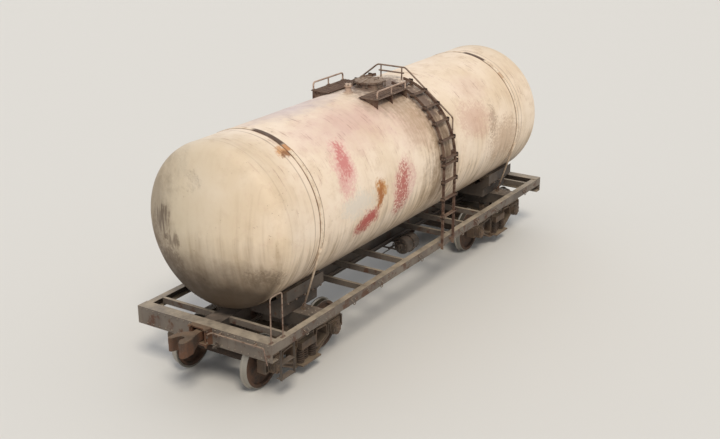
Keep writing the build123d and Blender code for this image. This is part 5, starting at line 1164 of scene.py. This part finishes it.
class TANKCAR_OT_stage(bpy.types.Operator):
    """Makes the floor, the lights, the background and the camera"""

    bl_idname = "tankcar.stage"
    bl_label = "Stage"

    def execute(self, context):
        scene = context.scene
        colours = scene.tank_car_colours
        plain_floor("rolled_floor_paint", colours.floor)
        mesh = bpy.data.meshes.new("floor")
        edge = [(x, y, CAD_BOX[0].z - 0.001) for x, y in circle(FLOOR_R, 96)]
        mesh.from_pydata(edge, [], [tuple(range(len(edge)))])
        floor = bpy.data.objects.new("floor", mesh)
        mesh.materials.append(bpy.data.materials["rolled_floor_paint"])
        scene.collection.objects.link(floor)

        world = bpy.data.worlds.new("studio")
        world.use_nodes = True
        tree = world.node_tree
        tree.nodes.clear()
        path = add(tree, "LightPath")
        seen = add(tree, "Math",
                   {0: path["Is Camera Ray"], 1: path["Is Glossy Ray"]}, operation="MAXIMUM")[0]
        seen = add(tree, "Math", {0: seen, 1: path["Is Transmission Ray"]}, operation="MAXIMUM")[0]
        sky = add(tree, "Background", {0: rgba("eef1f6"), 1: 0.62})[0]
        behind = add(tree, "Background", {0: (*colours.backdrop, 1.0), 1: 1.0})[0]
        mixed = add(tree, "MixShader", {0: seen, 1: sky, 2: behind})[0]
        add(tree, "OutputWorld", {0: mixed})
        scene.world = world

        for name, toward, strength, spread, hue in (
            ("key", (0.62, 0.58, -1.05), 1.75, 18, "fff6e8"),
            ("fill", (-0.75, -0.85, -0.65), 0.35, 60, "eaf1ff"),
        ):
            lamp = bpy.data.lights.new(name, "SUN")
            lamp.energy, lamp.angle, lamp.color = strength, math.radians(spread), linear(hue)
            holder = bpy.data.objects.new(name, lamp)
            holder.rotation_euler = Vector(toward).to_track_quat("-Z", "Y").to_euler()
            scene.collection.objects.link(holder)

        lens = bpy.data.cameras.new("camera")
        lens.lens, lens.sensor_width, lens.clip_end = scene.tank_car_sizes.lens, 36, 500
        camera = bpy.data.objects.new("camera", lens)
        camera.location = CAMERA_AT
        camera.rotation_euler = (CAMERA_AIM - CAMERA_AT).to_track_quat("-Z", "Y").to_euler()
        scene.collection.objects.link(camera)
        scene.camera = camera
        scene.view_settings.view_transform = "Standard"
        return {"FINISHED"}


PIECES = (
    TANKCAR_OT_finishes, TANKCAR_OT_welds, TANKCAR_OT_straps, TANKCAR_OT_hatch,
    TANKCAR_OT_platform, TANKCAR_OT_ladders, TANKCAR_OT_springs, TANKCAR_OT_bogies,
    TANKCAR_OT_frame, TANKCAR_OT_brakes, TANKCAR_OT_stage,
)


class TANKCAR_PT_panel(bpy.types.Panel):
    """Lists the car's pieces, sizes and colours"""

    bl_label = "Tank Car"
    bl_idname = "TANKCAR_PT_panel"
    bl_space_type = "VIEW_3D"
    bl_region_type = "UI"
    bl_category = "Tank Car"

    def draw(self, context):
        column = self.layout.column()
        for group in (context.scene.tank_car_sizes, context.scene.tank_car_colours):
            for name in group.__annotations__:
                column.prop(group, name)
        for piece in PIECES:
            column.operator(piece.bl_idname)


CLASSES = (TankCarSizes, TankCarColours, *PIECES, TANKCAR_PT_panel)


def register():
    for kind in CLASSES:
        bpy.utils.register_class(kind)
    bpy.types.Scene.tank_car_sizes = PointerProperty(type=TankCarSizes)
    bpy.types.Scene.tank_car_colours = PointerProperty(type=TankCarColours)


def unregister():
    del bpy.types.Scene.tank_car_colours
    del bpy.types.Scene.tank_car_sizes
    for kind in reversed(CLASSES):
        bpy.utils.unregister_class(kind)


def main():
    """Registers the add-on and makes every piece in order."""
    register()
    for piece in PIECES:
        group, name = piece.bl_idname.split(".")
        getattr(getattr(bpy.ops, group), name)()


if __name__ == "__main__":
    main()
